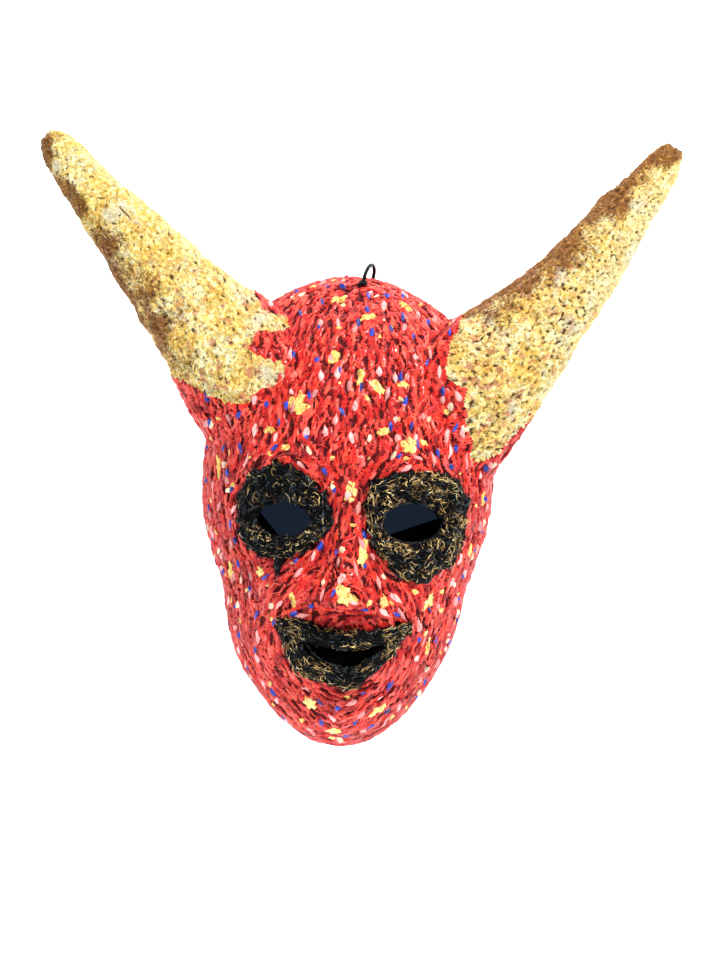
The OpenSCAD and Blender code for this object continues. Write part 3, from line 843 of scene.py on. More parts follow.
def tube(points, radii, sides=6):
    """Points and faces of a tube along a line, closed by a point at each end."""
    points = np.asarray(points, float)
    ways = unit(np.gradient(points, axis=0))
    side = unit(np.cross(ways[0], (0.31, 0.52, 0.79)))
    rings = []
    for place, way, radius in zip(points, ways, radii):
        side = unit(side - way * side.dot(way))
        up = np.cross(way, side)
        turn = np.linspace(0, 2 * np.pi, sides, endpoint=False)[:, None]
        rings.append(place + radius * (np.cos(turn) * side + np.sin(turn) * up))
    verts = np.concatenate(rings + [points[:1], points[-1:]])
    faces = []
    n = len(points)
    for r in range(n - 1):
        for k in range(sides):
            m = (k + 1) % sides
            faces.append((r * sides + k, r * sides + m, (r + 1) * sides + m, (r + 1) * sides + k))
    for k in range(sides):
        m = (k + 1) % sides
        faces.append((m, k, n * sides))
        faces.append(((n - 1) * sides + k, (n - 1) * sides + m, n * sides + 1))
    return verts, faces


class Heap:
    """Many small solids gathered into one mesh."""

    def __init__(self):
        self.points, self.faces, self.marks, self.count = [], [], {}, 0

    def add(self, points, faces, **marks):
        self.faces += [tuple(i + self.count for i in f) for f in faces]
        self.points.append(points)
        for key, value in marks.items():
            self.marks.setdefault(key, []).append(np.broadcast_to(value, len(points)).astype(float))
        self.count += len(points)

    def mesh(self, name):
        marks = {key: np.concatenate(values) for key, values in self.marks.items()}
        return make_mesh(name, np.concatenate(self.points), self.faces, marks)


class MASK_OT_hanger(bpy.types.Operator):
    """Threads the hanging cord, ties its knot and lays its run inside the crown"""
    bl_idname = "mask.hanger"
    bl_label = "Hanger"

    def execute(self, context):
        diameter = sizes("cord").diameter
        material = waxed_cord()
        loop = cord_curve("hanging_loop", LOOP_ROUTE, diameter)
        dress(loop, material, "hanger", "cord", "hanger_loop")
        inner = cord_curve("cord_inside", INNER_ROUTE, diameter)
        dress(inner, material, "mask", "cord", "hanger_inner_run")
        knot = self.knot(diameter / MM)
        dress(knot, material, "hanger", "cord", "hanger_knot")
        length = curve_length(loop)
        return {"FINISHED"}

    @staticmethod
    def knot(thick):
        """Two turns round the foot of the loop, crossed by a third, and a short stub of cord."""
        centre = np.array(LOOP_ROUTE[0], float)
        foot = unit(np.array(LOOP_ROUTE[1], float) - centre)
        side = unit(np.cross(foot, (0, 1, 0)))
        front = np.cross(side, foot)
        turn = np.linspace(0, 4.6 * np.pi, 54)
        around_foot = (1.25 + 0.2 * np.sin(3 * turn))[:, None] * (
            np.cos(turn)[:, None] * side + np.sin(turn)[:, None] * front)
        climb = (0.45 * np.sin(turn * 0.5 + 0.6) + 0.10 * turn / np.pi - 0.5)[:, None] * foot
        heap = Heap()
        heap.add(*tube(centre + around_foot + climb, np.full(54, thick * 0.46), 10))
        stub = centre + np.array(
            [[-0.8, -1.2, -0.2], [-1.6, -2.0, -0.7], [-2.5, -2.3, -1.4], [-3.2, -2.3, -2.2]])
        heap.add(*tube(stub, thick * np.array([0.5, 0.5, 0.46, 0.40]), 10))
        return heap.mesh("cord_knot")


def curve_length(obj):
    """Length of a curve's own line, measured along it."""
    line = obj.copy()
    line.data = obj.data.copy()
    line.data.bevel_depth = 0
    bpy.context.scene.collection.objects.link(line)
    bpy.context.view_layer.update()
    mesh = line.evaluated_get(bpy.context.evaluated_depsgraph_get()).to_mesh()
    spots = np.array([v.co for v in mesh.vertices])
    bpy.data.objects.remove(line)
    return float(np.linalg.norm(np.diff(spots, axis=0), axis=1).sum())


# ---------------------------------------------------------------- stage

# Where the camera stands, its lens, and how many degrees it is rolled
CAMERA_PLACE = (5.5, -1000, 21.6)
CAMERA_LENS = 66.8
CAMERA_ROLL = 1.85
# How far the wall and the floor reach, the floor's height and the wall's place behind the mask
REACH = 3000
FLOOR_Z = -420
WALL_Y = 0.4
# The part of the space behind the holes that no light gets to, just before the rest of it
DARK_Y = -0.3
DARK_OUTLINE = (
    (-72, 30), (-52, 4), (-39, -11), (-28, -25), (8, -14), (23, -8.5), (54, 3), (72, 10), (60, -50),
    (36, -104), (-36, -104), (-60, -50),
)


class MASK_OT_stage(bpy.types.Operator):
    """Sets the camera, the lights, the wall and the floor, and the painted shade behind the holes"""
    bl_idname = "mask.stage"
    bl_label = "Stage"

    def execute(self, context):
        scene = context.scene
        self.camera(scene)
        self.lights(scene)
        self.surfaces()
        return {"FINISHED"}

    @staticmethod
    def camera(scene):
        roll = math.radians(CAMERA_ROLL)
        data = bpy.data.cameras.new("Camera")
        data.sensor_fit = "VERTICAL"
        data.sensor_height = 36
        data.lens = CAMERA_LENS
        camera = bpy.data.objects.new("Camera", data)
        right = Vector((math.cos(roll), 0, math.sin(roll)))
        up = Vector((-math.sin(roll), 0, math.cos(roll)))
        back = Vector((0, -1, 0))
        camera.matrix_world = Matrix.Translation(Vector(CAMERA_PLACE) * MM) @ Matrix(
            (right, up, back)).transposed().to_4x4()
        scene.collection.objects.link(camera)
        scene.camera = camera

    @staticmethod
    def lights(scene):
        world = bpy.data.worlds.new("World")
        world.use_nodes = True
        background = world.node_tree.nodes["Background"]
        background.inputs["Color"].default_value = (0.90, 0.95, 1.0, 1)
        background.inputs["Strength"].default_value = 0.30
        scene.world = world
        scene.view_settings.view_transform = "Standard"
        scene.view_settings.look = "Medium High Contrast"
        for name, place, size, power, tone in (
            ("key", (0.50, -0.80, 0.95), 0.28, 19, (1.0, 0.98, 0.95)),
            ("fill", (-1.1, -1.0, 0.25), 0.9, 4, (0.90, 0.95, 1.0)),
            ("top", (0.0, -0.35, 1.2), 0.6, 2, (1.0, 1.0, 1.0)),
            ("behind", (0.5, 1.3, 0.8), 0.9, 9, (1.0, 1.0, 1.0)),
        ):
            data = bpy.data.lights.new(name, "AREA")
            data.size = size
            data.energy = power
            data.color = tone
            lamp = bpy.data.objects.new(name, data)
            lamp.location = place
            lamp.rotation_euler = (Vector((0, 0, 0.04)) - Vector(place)).to_track_quat("-Z", "Y").to_euler()
            scene.collection.objects.link(lamp)

    @staticmethod
    def surfaces():
        white = one_sided("plain_white", (0.84, 0.87, 0.90, 1), glow=0.50)
        square = ((-1, -1), (1, -1), (1, 1), (-1, 1))
        upright = [(x * REACH, WALL_Y, REACH if z > 0 else FLOOR_Z) for x, z in square]
        wall = make_mesh("wall", upright, [(0, 1, 2, 3)])
        floor = make_mesh("floor", [(x * REACH, y * REACH, FLOOR_Z) for x, y in square], [(0, 1, 2, 3)])
        # Painted shade: a dark navy sheet fills the rim's opening behind the holes, and a black sheet of
        # painted shadow lies over part of it.
        angles = np.arange(0, 360, 6)
        rim = bowl(angles, np.full(angles.shape, 89.99), 8.0, False)
        shade = make_mesh("shade_behind", rim * (1, 0, 1), [tuple(range(len(angles)))[::-1]])
        dark = [(x, DARK_Y, z) for x, z in DARK_OUTLINE]
        cast = make_mesh("shadow_behind", dark, [tuple(range(len(dark)))])
        for obj in (shade, cast):
            if obj.data.polygons[0].normal.y > 0:
                obj.data.flip_normals()
        # The navy sheet of painted shade glows faintly so that it shows through the holes; the black sheet is
        # painted shadow.
        navy = one_sided("deep_shade", (0.016, 0.024, 0.040, 1), glow=0.9)
        black = one_sided("deepest_shade", (0.001, 0.001, 0.002, 1))
        for obj, material in ((wall, white), (floor, white), (shade, navy), (cast, black)):
            obj.data.materials.append(material)
            obj.visible_shadow = obj is floor


# ---------------------------------------------------------------- shell and skin

def snapped(points):
    """Where points lie across the wall once those that stray into a hole are out at its edge."""
    o = sizes("openings")
    x, z = points[..., 0].copy(), points[..., 2].copy()
    front = points[..., 1] < FRONT_Y
    for side in (-1, 1):
        share = np.maximum(in_eye(x, z, side), 0.05)
        inside = (share < 1) & front
        cx = side * o.eye_spacing / 2
        x = np.where(inside, cx + (x - cx) / share, x)
        z = np.where(inside, z / share, z)
    fall = 1 - np.clip(x / (o.mouth_w / 2), -1, 1) ** 2
    top, bottom = MOUTH_Z - MOUTH_SAG * fall, MOUTH_Z - MOUTH_DROP * fall
    inside = in_mouth(x, z) & front
    z = np.where(inside, np.where(z > (top + bottom) / 2, top, bottom), z)
    return x, z


def hole_free(points):
    """For each cell of a grid, whether it lies outside every hole."""
    middle = (points[:-1, :-1] + points[1:, :-1] + points[:-1, 1:] + points[1:, 1:]) / 4
    x, z = middle[..., 0], middle[..., 2]
    front = middle[..., 1] < FRONT_Y
    holes = (in_eye(x, z, -1) < 1) | (in_eye(x, z, 1) < 1) | in_mouth(x, z)
    return ~(holes & front)


class MASK_OT_paper_shell(bpy.types.Operator):
    """Pastes the paper strips of the shell that the wearer sees from behind"""
    bl_idname = "mask.paper_shell"
    bl_label = "Paper shell"

    def execute(self, context):
        face = sizes("face")
        rng = np.random.default_rng(5)
        step = 1.3
        points = face_grid(step, face.skin + face.shell, nosed=False)
        sheet = Pulp(points, np.array([0.0, 1.0, 0.0]))
        self.strips(sheet, rng, 150)
        sheet.height += 0.35 * ripple(points, 14, 3)
        shaped = sheet.shaped().reshape(-1, 3)
        faces = faced(shaped, grid_faces(*sheet.height.shape, keep=hole_free(points)), (0, 1, 0))
        marks = {"strip": sheet.tone, "edge": np.zeros(sheet.tone.shape)}
        obj = make_mesh("pasted_shell", shaped, faces, marks)
        drop_loose(obj)
        turn_edges_in(obj, -face.shell, -face.shell)
        dress(obj, shell_paint(), "mask", "paper_shell", "paper_shell")
        return {"FINISHED"}

    @staticmethod
    def strips(sheet, rng, count):
        """Strips of pasted paper lying over one another at all angles."""
        rows, cols = sheet.height.shape
        for _ in range(count):
            i, j = rng.integers(rows), rng.integers(cols)
            way = unit(np.array([rng.normal(), 0.2 * rng.normal(), rng.normal()]))
            normal = sheet.normals[i, j]
            along = unit(way - way.dot(normal) * normal)
            across = np.cross(normal, along)
            length, width = rng.uniform(45, 80), rng.uniform(16, 26)
            where = sheet.window(i, j, length / 2)
            offset = sheet.points[where] - sheet.points[i, j]
            u, v = np.abs(offset @ along) / (length / 2), np.abs(offset @ across) / (width / 2)
            inside = (u < 1) & (v < 1) & (np.abs(offset @ normal) < 25)
            edge = np.maximum(u, v)
            sheet.height[where] += np.where(inside, 0.28, 0)
            sheet.tone[where] = np.where(inside, np.where(edge > 0.94, 1.0, 0.3), sheet.tone[where])


def strand_way(x, z, rng):
    """Which way the strands lie at a place of the face: down it, round the eyes and the mouth."""
    ways = [(np.array([0.0, 1.0]), 1.0)]
    side = 1 if x > 0 else -1
    if -50 < z < 12 and abs(x) < 48:
        ways.append((np.array([side * 0.75, -1.0]), 1.6))
    for eye in (-1, 1):
        dx = x - eye * sizes("openings").eye_spacing / 2
        gap = math.hypot(dx, z) - 28
        ways.append((np.array([-z, dx]) / max(math.hypot(dx, z), 1), 3.0 * math.exp(-(gap / 7) ** 2)))
    gap = lip_share(x, z) - 1.1
    round_mouth = np.array([-(z - LIPS_Z) * 1.8, x]) / max(math.hypot(x, z - LIPS_Z), 1)
    ways.append((round_mouth, 3.0 * math.exp(-(gap / 0.35) ** 2)))
    ways.append((np.array([-(z + 60), x]) / 60, 1.5 * math.exp(-((z + 118) / 16) ** 2)))
    total = np.zeros(2)
    for way, weight in ways:
        way = way / max(np.linalg.norm(way), 1e-6)
        total += weight * way * (1 if way.dot(total) >= 0 else -1)
    loose = 0.22 + 1.2 * (z > 118)
    angle = math.atan2(total[1], total[0]) + rng.normal() * loose
    return np.array([math.cos(angle), 0.0, math.sin(angle)])


class MASK_OT_red_skin(bpy.types.Operator):
    """Lays the red pulp strand by strand over the bowl of the face"""
    bl_idname = "mask.red_skin"
    bl_label = "Red pulp skin"

    def execute(self, context):
        face = sizes("face")
        rng = np.random.default_rng(11)
        step = face.grain
        points = face_grid(step)
        skin = Pulp(points, np.array([0.0, -1.0, 0.0]))
        skin.height[:] = -0.7
        self.lay(skin, rng, face.strands)
        skin.height += 0.5 * ripple(points, 18, 2) + 0.22 * ripple(points, 2.6, 13)
        x, z = points[..., 0], points[..., 2]
        near_hole = np.minimum(in_eye(x, z, -1), in_eye(x, z, 1))
        skin.height *= np.where(near_hole < 1.3, 0.3, 1.0)
        shaped = skin.shaped()
        shaped[..., 1] = np.minimum(shaped[..., 1], 0)
        shaped[..., 0], shaped[..., 2] = snapped(shaped)
        shaped = shaped.reshape(-1, 3)
        faces = faced(shaped, grid_faces(*skin.height.shape, keep=hole_free(points)), (0, -1, 0))
        mouth = np.zeros(near_hole.shape, bool)
        for rise in (-1.6, 0, 1.6):
            mouth |= in_mouth(x, z + rise)
        edge = np.where((near_hole < 1.16) | mouth, 1.0, 0.0)
        obj = make_mesh("red_pulp", shaped, faces, {
            "tone": skin.tone, "hollow": skin.hollow(), "slot": skin.slot, "edge": edge})
        drop_loose(obj)
        turn_edges_in(obj, face.skin, face.skin)
        dress(obj, red_pulp(), "mask", "red_pulp", "red_pulp_skin")
        return {"FINISHED"}

    @staticmethod
    def lay(skin, rng, count):
        rows, cols = skin.height.shape
        for k in range(count):
            i, j = rng.integers(rows), rng.integers(cols)
            x, _, z = skin.points[i, j]
            way = strand_way(x, z, rng)
            length = rng.uniform(3.5, 11.0) * (0.7 if z > 116 else 1.0)
            width = rng.uniform(1.2, 2.6)
            base = rng.normal() * 0.28
            if k % 9 == 8:
                skin.strand(i, j, way, rng.uniform(5, 12), rng.uniform(1.6, 2.8), 1.1, base - 0.1, 0,
                            dig=True)
                continue
            skin.strand(i, j, way, length, width, rng.uniform(0.5, 1.0), base - 0.4, rng.random(),
                        bend=rng.normal() * 0.7)


# ---------------------------------------------------------------- horns

class MASK_OT_horns(bpy.types.Operator):
    """Builds the gold horns with their roots spread over the face"""
    bl_idname = "mask.horns"
    bl_label = "Horns"

    def execute(self, context):
        gold_paint = gold_pulp()
        red_paint = bpy.data.objects["red_pulp"].active_material
        for side, word in ((-1, "left"), (1, "right")):
            self.build(side, word, gold_paint, red_paint)
        return {"FINISHED"}

    @staticmethod
    def surface(side, step):
        """A grid from inside the head to the tip, closed round the horn."""
        h = sizes("horns")
        length = np.linalg.norm(np.subtract(HORN_PATH[side][2], HORN_PATH[side][0]))
        rows = int(length / step)
        cols = int(2 * math.pi * 26 / step)
        t = np.linspace(0.02, 1.0, rows)
        axis = horn_axis(side, t)
        way = unit(np.gradient(axis, axis=0))
        down = unit(np.cross(np.cross(way, (0, 0, -1.0)), way))
        front = np.cross(way, down)
        angle = np.linspace(0, 2 * np.pi, cols, endpoint=False)
        u = np.clip((t - 0.02) / 0.48, 0, 1)
        spread = h.flare * (1 - u) ** 1.5
        ring = (horn_radius(t) + spread)[:, None, None] * (
            np.cos(angle)[None, :, None] * down[:, None] + np.sin(angle)[None, :, None] * front[:, None])
        points = (axis - ROOT_LEAN[side] * spread[:, None] * down)[:, None] + ring
        return points, t, way, down

    def horn(self, side):
        rng = np.random.default_rng(20 + side)
        points, t, way, down = self.surface(side, 0.72)
        outward = points - points.mean(axis=1, keepdims=True)
        horn = Pulp(points, outward, closed=True)
        rows, cols = horn.height.shape
        gold = in_gold(points, side)
        horn.height[:] = -0.6
        for k in range(sizes("horns").strands):
            i, j = rng.integers(rows), rng.integers(cols)
            if gold[i, j]:
                along = way[i] + rng.normal(size=3) * 0.5
            else:
                along = np.array([0.2 * rng.normal(), 0, -1.0])
            if k % 40 == 39:
                horn.strand(i, j, along, rng.uniform(1.5, 12), rng.uniform(0.8, 1.6), 1.3, 0, 0,
                            bend=rng.normal() * 2, dig=True)
                continue
            horn.strand(i, j, along, rng.uniform(3, 9), rng.uniform(1.4, 3.0), rng.uniform(0.4, 0.9),
                        rng.normal() * 0.22 - 0.4, rng.random(), bend=rng.normal())
        self.lay_red(horn, gold, rng)
        folds = 1.6 if side > 0 else 1.1
        crumple = 0.9 * np.abs(ripple(points, 11, 30 + side)) + folds * np.abs(ripple(points, 4.5, 33 + side))
        crumple = crumple + 0.6 * np.abs(ripple(points, 2.0, 36 + side))
        horn.height = np.where(gold, 0.45 * horn.height + 0.35 - 1.3 * crumple, horn.height)
        horn.height += 1.1 * ripple(points, 26, 4 + side) + 0.6 * ripple(points, 9, 6 + side)
        shaped = horn.shaped()
        shaped[..., 1] = np.minimum(shaped[..., 1], -0.5)
        under = np.sum(unit(outward) * down[:, None], axis=-1)
        tip = np.clip((t - 0.91) / 0.07, 0, 1)[:, None]
        root = np.clip((0.42 - t) / 0.2, 0, 1)[:, None]
        # Browner where the gold is rubbed thin in patches and at the tip, less so at the root, and painted
        # shade on the side of each horn turned from the light: the lower side of the left horn, the upper
        # side of the right.
        brown = (0.12 if side > 0 else -0.15) - side * 1.15 * under - 1.4 * root
        brown = np.clip(brown + 0.8 * ripple(points, 16, 9 + side) + 1.6 * tip, 0, 1)
        silver = np.clip(3.0 * ripple(points, 20, 12 + side) - (0.9 if side < 0 else 1.0), 0, 1) * (1 - tip)
        up_horn = np.clip((t - 0.45) / 0.25, 0, 1)[:, None]
        pale = (0.15 + 0.55 * up_horn if side > 0 else 0.05) + 0.5 * ripple(points, 24, 15 + side) * (1 - tip)
        pale = np.clip(pale - brown, 0, 1)
        salmon = np.clip((0.75 - t) / 0.5, 0, 1)[:, None] * np.ones((1, cols))
        marks = {"hollow": horn.hollow(), "slot": horn.slot, "brown": brown, "silver": silver,
                 "pale": pale, "salmon": salmon, "tone": horn.tone, "edge": np.zeros((rows, cols))}
        return shaped, marks, gold, way

    @staticmethod
    def lay_red(horn, gold, rng):
        """Lays red strands down the root where the gold leaves it bare."""
        rows, cols = gold.shape
        for k in range(2600):
            i, j = rng.integers(int(0.45 * rows)), rng.integers(cols)
            if gold[i, j]:
                continue
            way = np.array([0.35 * rng.normal(), 0, -1.0])
            base = rng.normal() * 0.28 - 0.3
            if k % 8 == 7:
                horn.strand(i, j, way, rng.uniform(4, 10), rng.uniform(1.2, 2.2), 1.1, base, 0, dig=True)
            else:
                horn.strand(i, j, way, rng.uniform(3.5, 9), rng.uniform(1.2, 2.4), rng.uniform(0.5, 1.0),
                            base, rng.random(), bend=rng.normal() * 0.7)

    def build(self, side, word, gold_paint, red_paint):
        shaped, marks, gold, way = self.horn(side)
        rows, cols = gold.shape
        tip = shaped[-1].mean(axis=0) + way[-1] * 1.2
        points = np.vstack([shaped.reshape(-1, 3), tip])
        marks = {key: np.append(values.ravel(), 0.8) for key, values in marks.items()}
        is_gold = np.append(gold.ravel(), True)
        buried = inside_bowl(points, 2.2)
        faces = grid_faces(rows, cols, closed=True)
        last = (rows - 1) * cols
        faces += [(last + j, last + (j + 1) % cols, rows * cols) for j in range(cols)]
        middle = faces[(rows // 2) * cols]
        face_way = np.cross(points[middle[1]] - points[middle[0]], points[middle[2]] - points[middle[1]])
        if np.dot(face_way, points[middle[0]] - shaped[rows // 2].mean(axis=0)) < 0:
            faces = [f[::-1] for f in faces]
        nodes = (f"{word}_horn_skin", f"{word}_horn_root")
        for name, keep, paint, slot in (
            (f"{word}_horn_gold", True, gold_paint, "gold_pulp"),
            (f"{word}_horn_red", False, red_paint, "red_pulp"),
        ):
            part = [f for f in faces if (sum(is_gold[i] for i in f) * 2 >= len(f)) == keep
                    and not all(buried[i] for i in f)]
            obj = make_mesh(name, points, part, marks)
            drop_loose(obj)
            dress(obj, paint, "mask", slot, *nodes)


# ---------------------------------------------------------------- black rims and lips

def band(inner, outer, proud, rows_across):
    """A low rounded band over the face between two edges, with its own sides sunk into the skin."""
    v = np.linspace(0, 1, rows_across)
    flat = inner[:, None] + (outer - inner)[:, None] * v[None, :, None]
    lift = 0.5 + (proud - 0.5) * np.sin(np.pi * v) ** 0.6
    lift[0], lift[-1] = -1.6, -1.6
    return on_face(flat[..., 0], flat[..., 1]) - np.array([0, 1.0, 0]) * lift[None, :, None]


def read_grid(grid, a, b, closed):
    """Values of a grid at fractional rows and columns."""
    rows, cols = grid.shape[:2]
    a = np.mod(a, rows) if closed else np.clip(a, 0, rows - 1.001)
    b = np.clip(b, 0, cols - 1.001)
    i, j = np.floor(a).astype(int), np.floor(b).astype(int)
    s, t = (a - i)[:, None], (b - j)[:, None]
    i2 = (i + 1) % rows
    i = i % rows
    return ((1 - s) * (1 - t) * grid[i, j] + s * (1 - t) * grid[i2, j]
            + (1 - s) * t * grid[i, j + 1] + s * t * grid[i2, j + 1])


class Tangle:
    """A black band of pulp with loose strands matted over it."""

    # How far the strands reach past the band's edges, in millimetres
    OVER = 0.9

    def __init__(self, points, closed, seed, gilt):
        self.rng = np.random.default_rng(seed)
        self.gilt = gilt
        self.heap = Heap()
        self.closed = closed
        loop = np.concatenate([points, points[:1]]) if closed else points
        along, across = np.gradient(loop, axis=(0, 1))
        normals = unit(np.cross(along, across))
        if normals[..., 1].mean() > 0:
            normals = -normals
        if closed:
            normals = normals[:-1]
        lumps = 0.8 * ripple(points, 6, seed) + 0.45 * ripple(points, 2.2, seed + 1)
        inner = np.ones(points.shape[:2])
        inner[:, [0, -1]] = 0
        self.points = points + normals * (lumps * inner)[..., None]
        self.normals = normals
        rows, cols = points.shape[:2]
        faces = grid_faces(rows, cols)
        if closed:
            ids = np.arange(cols - 1)
            last = (rows - 1) * cols
            faces += [(last + k, last + k + 1, k + 1, k) for k in ids]
        flat = self.points.reshape(-1, 3)
        faces = faced(flat, faces, (0, -1, 0))
        shine = np.clip(0.1 + 0.6 * ripple(points, 4, seed + 2), 0, 0.4)
        self.heap.add(flat, faces, gilt=shine.ravel() * (0.5 + gilt), tone=0.3)
        self.spacing = (np.linalg.norm(along, axis=-1).mean(), np.linalg.norm(across, axis=-1).mean())

    def at(self, grid, a, b):
        return read_grid(grid, a, b, self.closed)

    def strands(self, count, length, radius):
        """Curling strands that wander over the band."""
        rng = self.rng
        rows, cols = self.points.shape[:2]
        for _ in range(count):
            total = rng.uniform(*length)
            n = max(6, int(total / 0.9))
            heading = rng.uniform(0, 2 * np.pi)
            curl = rng.normal() * 0.26
            turns = heading + np.cumsum(curl + rng.normal(size=n) * 0.36)
            a = rng.uniform(0, rows) + np.cumsum(np.cos(turns)) * 0.9 / self.spacing[0]
            b = rng.uniform(0, 1) * (cols - 1) + np.cumsum(np.sin(turns)) * 0.9 / self.spacing[1]
            low, high = -self.OVER / self.spacing[1], cols - 1 + self.OVER / self.spacing[1]
            b = low + np.abs(np.mod(b - low, 2 * (high - low)) - (high - low))
            if not self.closed:
                a = np.abs(np.mod(a, 2 * (rows - 1)) - (rows - 1))
            past = np.where(b < 0, b, np.maximum(b - (cols - 1), 0))
            near = np.clip(b, 1, cols - 2)
            across = unit(self.at(self.points, a, near + 1) - self.at(self.points, a, near - 1))
            spot = self.at(self.points, a, b) + across * (past * self.spacing[1])[:, None]
            spot = spot + np.array([0, -1.0, 0]) * (np.abs(past) > 0)[:, None]
            lift = rng.uniform(-0.1, 0.9) + 0.35 * np.sin(np.linspace(0, 3, n) * rng.uniform(1, 3) + heading)
            line = spot + self.at(self.normals, a, b) * lift[:, None]
            self.draw(line, rng.uniform(*radius))

    def draw(self, line, thick, gilt=None):
        rng = self.rng
        n = len(line)
        shape = np.clip(np.sin(np.linspace(0.12, np.pi - 0.12, n)) ** 0.5, 0.3, 1)
        cluster = 0.5 + 0.9 * noise.fractal(Vector(line[n // 2]) / 7, 0.8, 2.0, 2)
        shine = float(rng.random() < 2 * cluster * self.gilt) if gilt is None else gilt
        verts, faces = tube(line, thick * shape * (1 + 0.25 * rng.normal(size=n).clip(-1, 1)), 5)
        self.heap.add(verts, faces, gilt=shine * rng.uniform(0.7, 1), tone=rng.random())


def eye_band(side, rows):
    o = sizes("openings")
    turn = np.linspace(0, 360, rows, endpoint=False)
    cx = side * o.eye_spacing / 2
    radians = np.radians(turn)
    ring = np.stack([np.cos(radians), np.full(rows, 0.3 * side), np.sin(radians)], -1) * 27
    reach = around(RIM_REACH[side], turn) + 2.2 * ripple(ring, 9, 70) + 1.5 * ripple(ring, 3, 72)
    hole = {-1: -0.6, 1: 1.2}[side] + 0.7 * ripple(ring, 6, 74)
    wide, high = o.eye_w / 2 + hole, o.eye_h / 2 + hole
    inner = np.stack([cx + wide * np.cos(radians), high * np.sin(radians)], -1)
    outer = np.stack([cx + reach * np.cos(radians), reach * np.sin(radians)], -1)
    return band(inner, outer, o.rim_proud, 26)


class MASK_OT_eye_rims(bpy.types.Operator):
    """Mats the black and gilded strands round the eye holes"""
    bl_idname = "mask.eye_rims"
    bl_label = "Eye rims"

    def execute(self, context):
        material = black_pulp()
        for side, word, gilt in ((-1, "left", 0.11), (1, "right", 0.34)):
            mat = Tangle(eye_band(side, 190), True, 30 + side, gilt)
            mat.strands(2000, length=(2.5, 9), radius=(0.11, 0.33))
            if side < 0:
                self.drip(mat)
            obj = mat.heap.mesh(f"{word}_eye_tangle")
            dress(obj, material, "mask", "black_pulp", f"{word}_eye_rim")
        return {"FINISHED"}

    @staticmethod
    def drip(mat):
        """A tapered tail of strands that hangs from the left rim."""
        rng = mat.rng
        for _ in range(26):
            n = 12
            down = np.linspace(0, 1, n)
            x = -34.5 - 1.5 * down + (1 - 0.8 * down) * rng.normal() * 1.7
            x = x + 0.4 * np.sin(down * 9 + rng.uniform(0, 6))
            z = -16 - 17 * down * rng.uniform(0.7, 1.0)
            line = on_face(x, z, 0.4 + rng.uniform(0, 1.4) * (1 - down))
            mat.draw(line, rng.uniform(0.35, 0.6), 0.0)


class MASK_OT_lips(bpy.types.Operator):
    """Mats the black and gilded strands round the mouth"""
    bl_idname = "mask.lips"
    bl_label = "Lips"

    def execute(self, context):
        material = black_pulp()
        proud = sizes("openings").lip_proud
        for word, seed, (inner, outer) in (("upper", 45, self.upper()), ("lower", 45, self.lower())):
            mat = Tangle(band(inner, outer, proud, 18), False, seed, 0.26)
            mat.strands(950, length=(2.5, 8), radius=(0.11, 0.33))
            obj = mat.heap.mesh(f"{word}_lip_tangle")
            dress(obj, material, "mask", "black_pulp", f"{word}_lip")
        return {"FINISHED"}

    @staticmethod
    def upper():
        u = np.linspace(-1, 1, 110)
        half = sizes("openings").mouth_w / 2
        inner = np.stack([35 * u, MOUTH_Z - MOUTH_SAG + MOUTH_SAG * (u * 35 / half) ** 2 - 0.2], -1)
        outer = ragged_line(UPPER_LIP, 110, 80)
        return inner, outer

    @staticmethod
    def lower():
        a = np.radians(np.linspace(170, 370, 150))
        half = sizes("openings").mouth_w / 2
        drop = MOUTH_DROP * np.sin(a) ** 2 * -np.sign(np.sin(a))
        inner = np.stack([(half + 0.3) * np.cos(a), MOUTH_Z - drop + 0.5], -1)
        return inner, ragged_line(LOWER_LIP, 150, 82)


# ---------------------------------------------------------------- flakes

# Gold flakes given one by one: x, z, length, width and turn
GOLD_PLACES = (
    (-9, 118, 7, 5, 10), (7, 108, 7, 4, 30), (-10, 85, 7, 5, 80), (4, 75, 6, 4, 60),
    (13, 70, 9, 4, -50), (26, 72, 6, 3, 0), (27, 116, 7, 4, -30), (-28, 60, 10, 8, 70),
    (30, 40, 8, 7, 20), (-33, 37, 4, 3, 0), (17, 47, 5, 4, -20), (1, 15, 9, 5, 80),
    (8, -15, 13, 4, 80), (0, -37, 9, 8, -40), (20, -41, 7, 4, 100), (44, -41, 7, 6, 30),
    (44, -65, 8, 4, 80), (-27, -41, 6, 3, 100), (-17, -97, 7, 6, 60), (19, -100, 9, 5, 40),
    (-4, -113, 7, 5, 20), (-45, -28, 5, 4, 0), (-70, 26, 10, 4, 95), (-62, -28, 9, 4, 100),
    (72, 14, 8, 4, 80), (66, -14, 6, 4, 50), (-42, 46, 5, 3, 0), (38, 42, 4, 3, 10),
)


def red_ground():
    """The pieces of red pulp that flakes and fibres lie on."""
    return [bpy.data.objects[name] for name in ("red_pulp", "left_horn_red", "right_horn_red")]


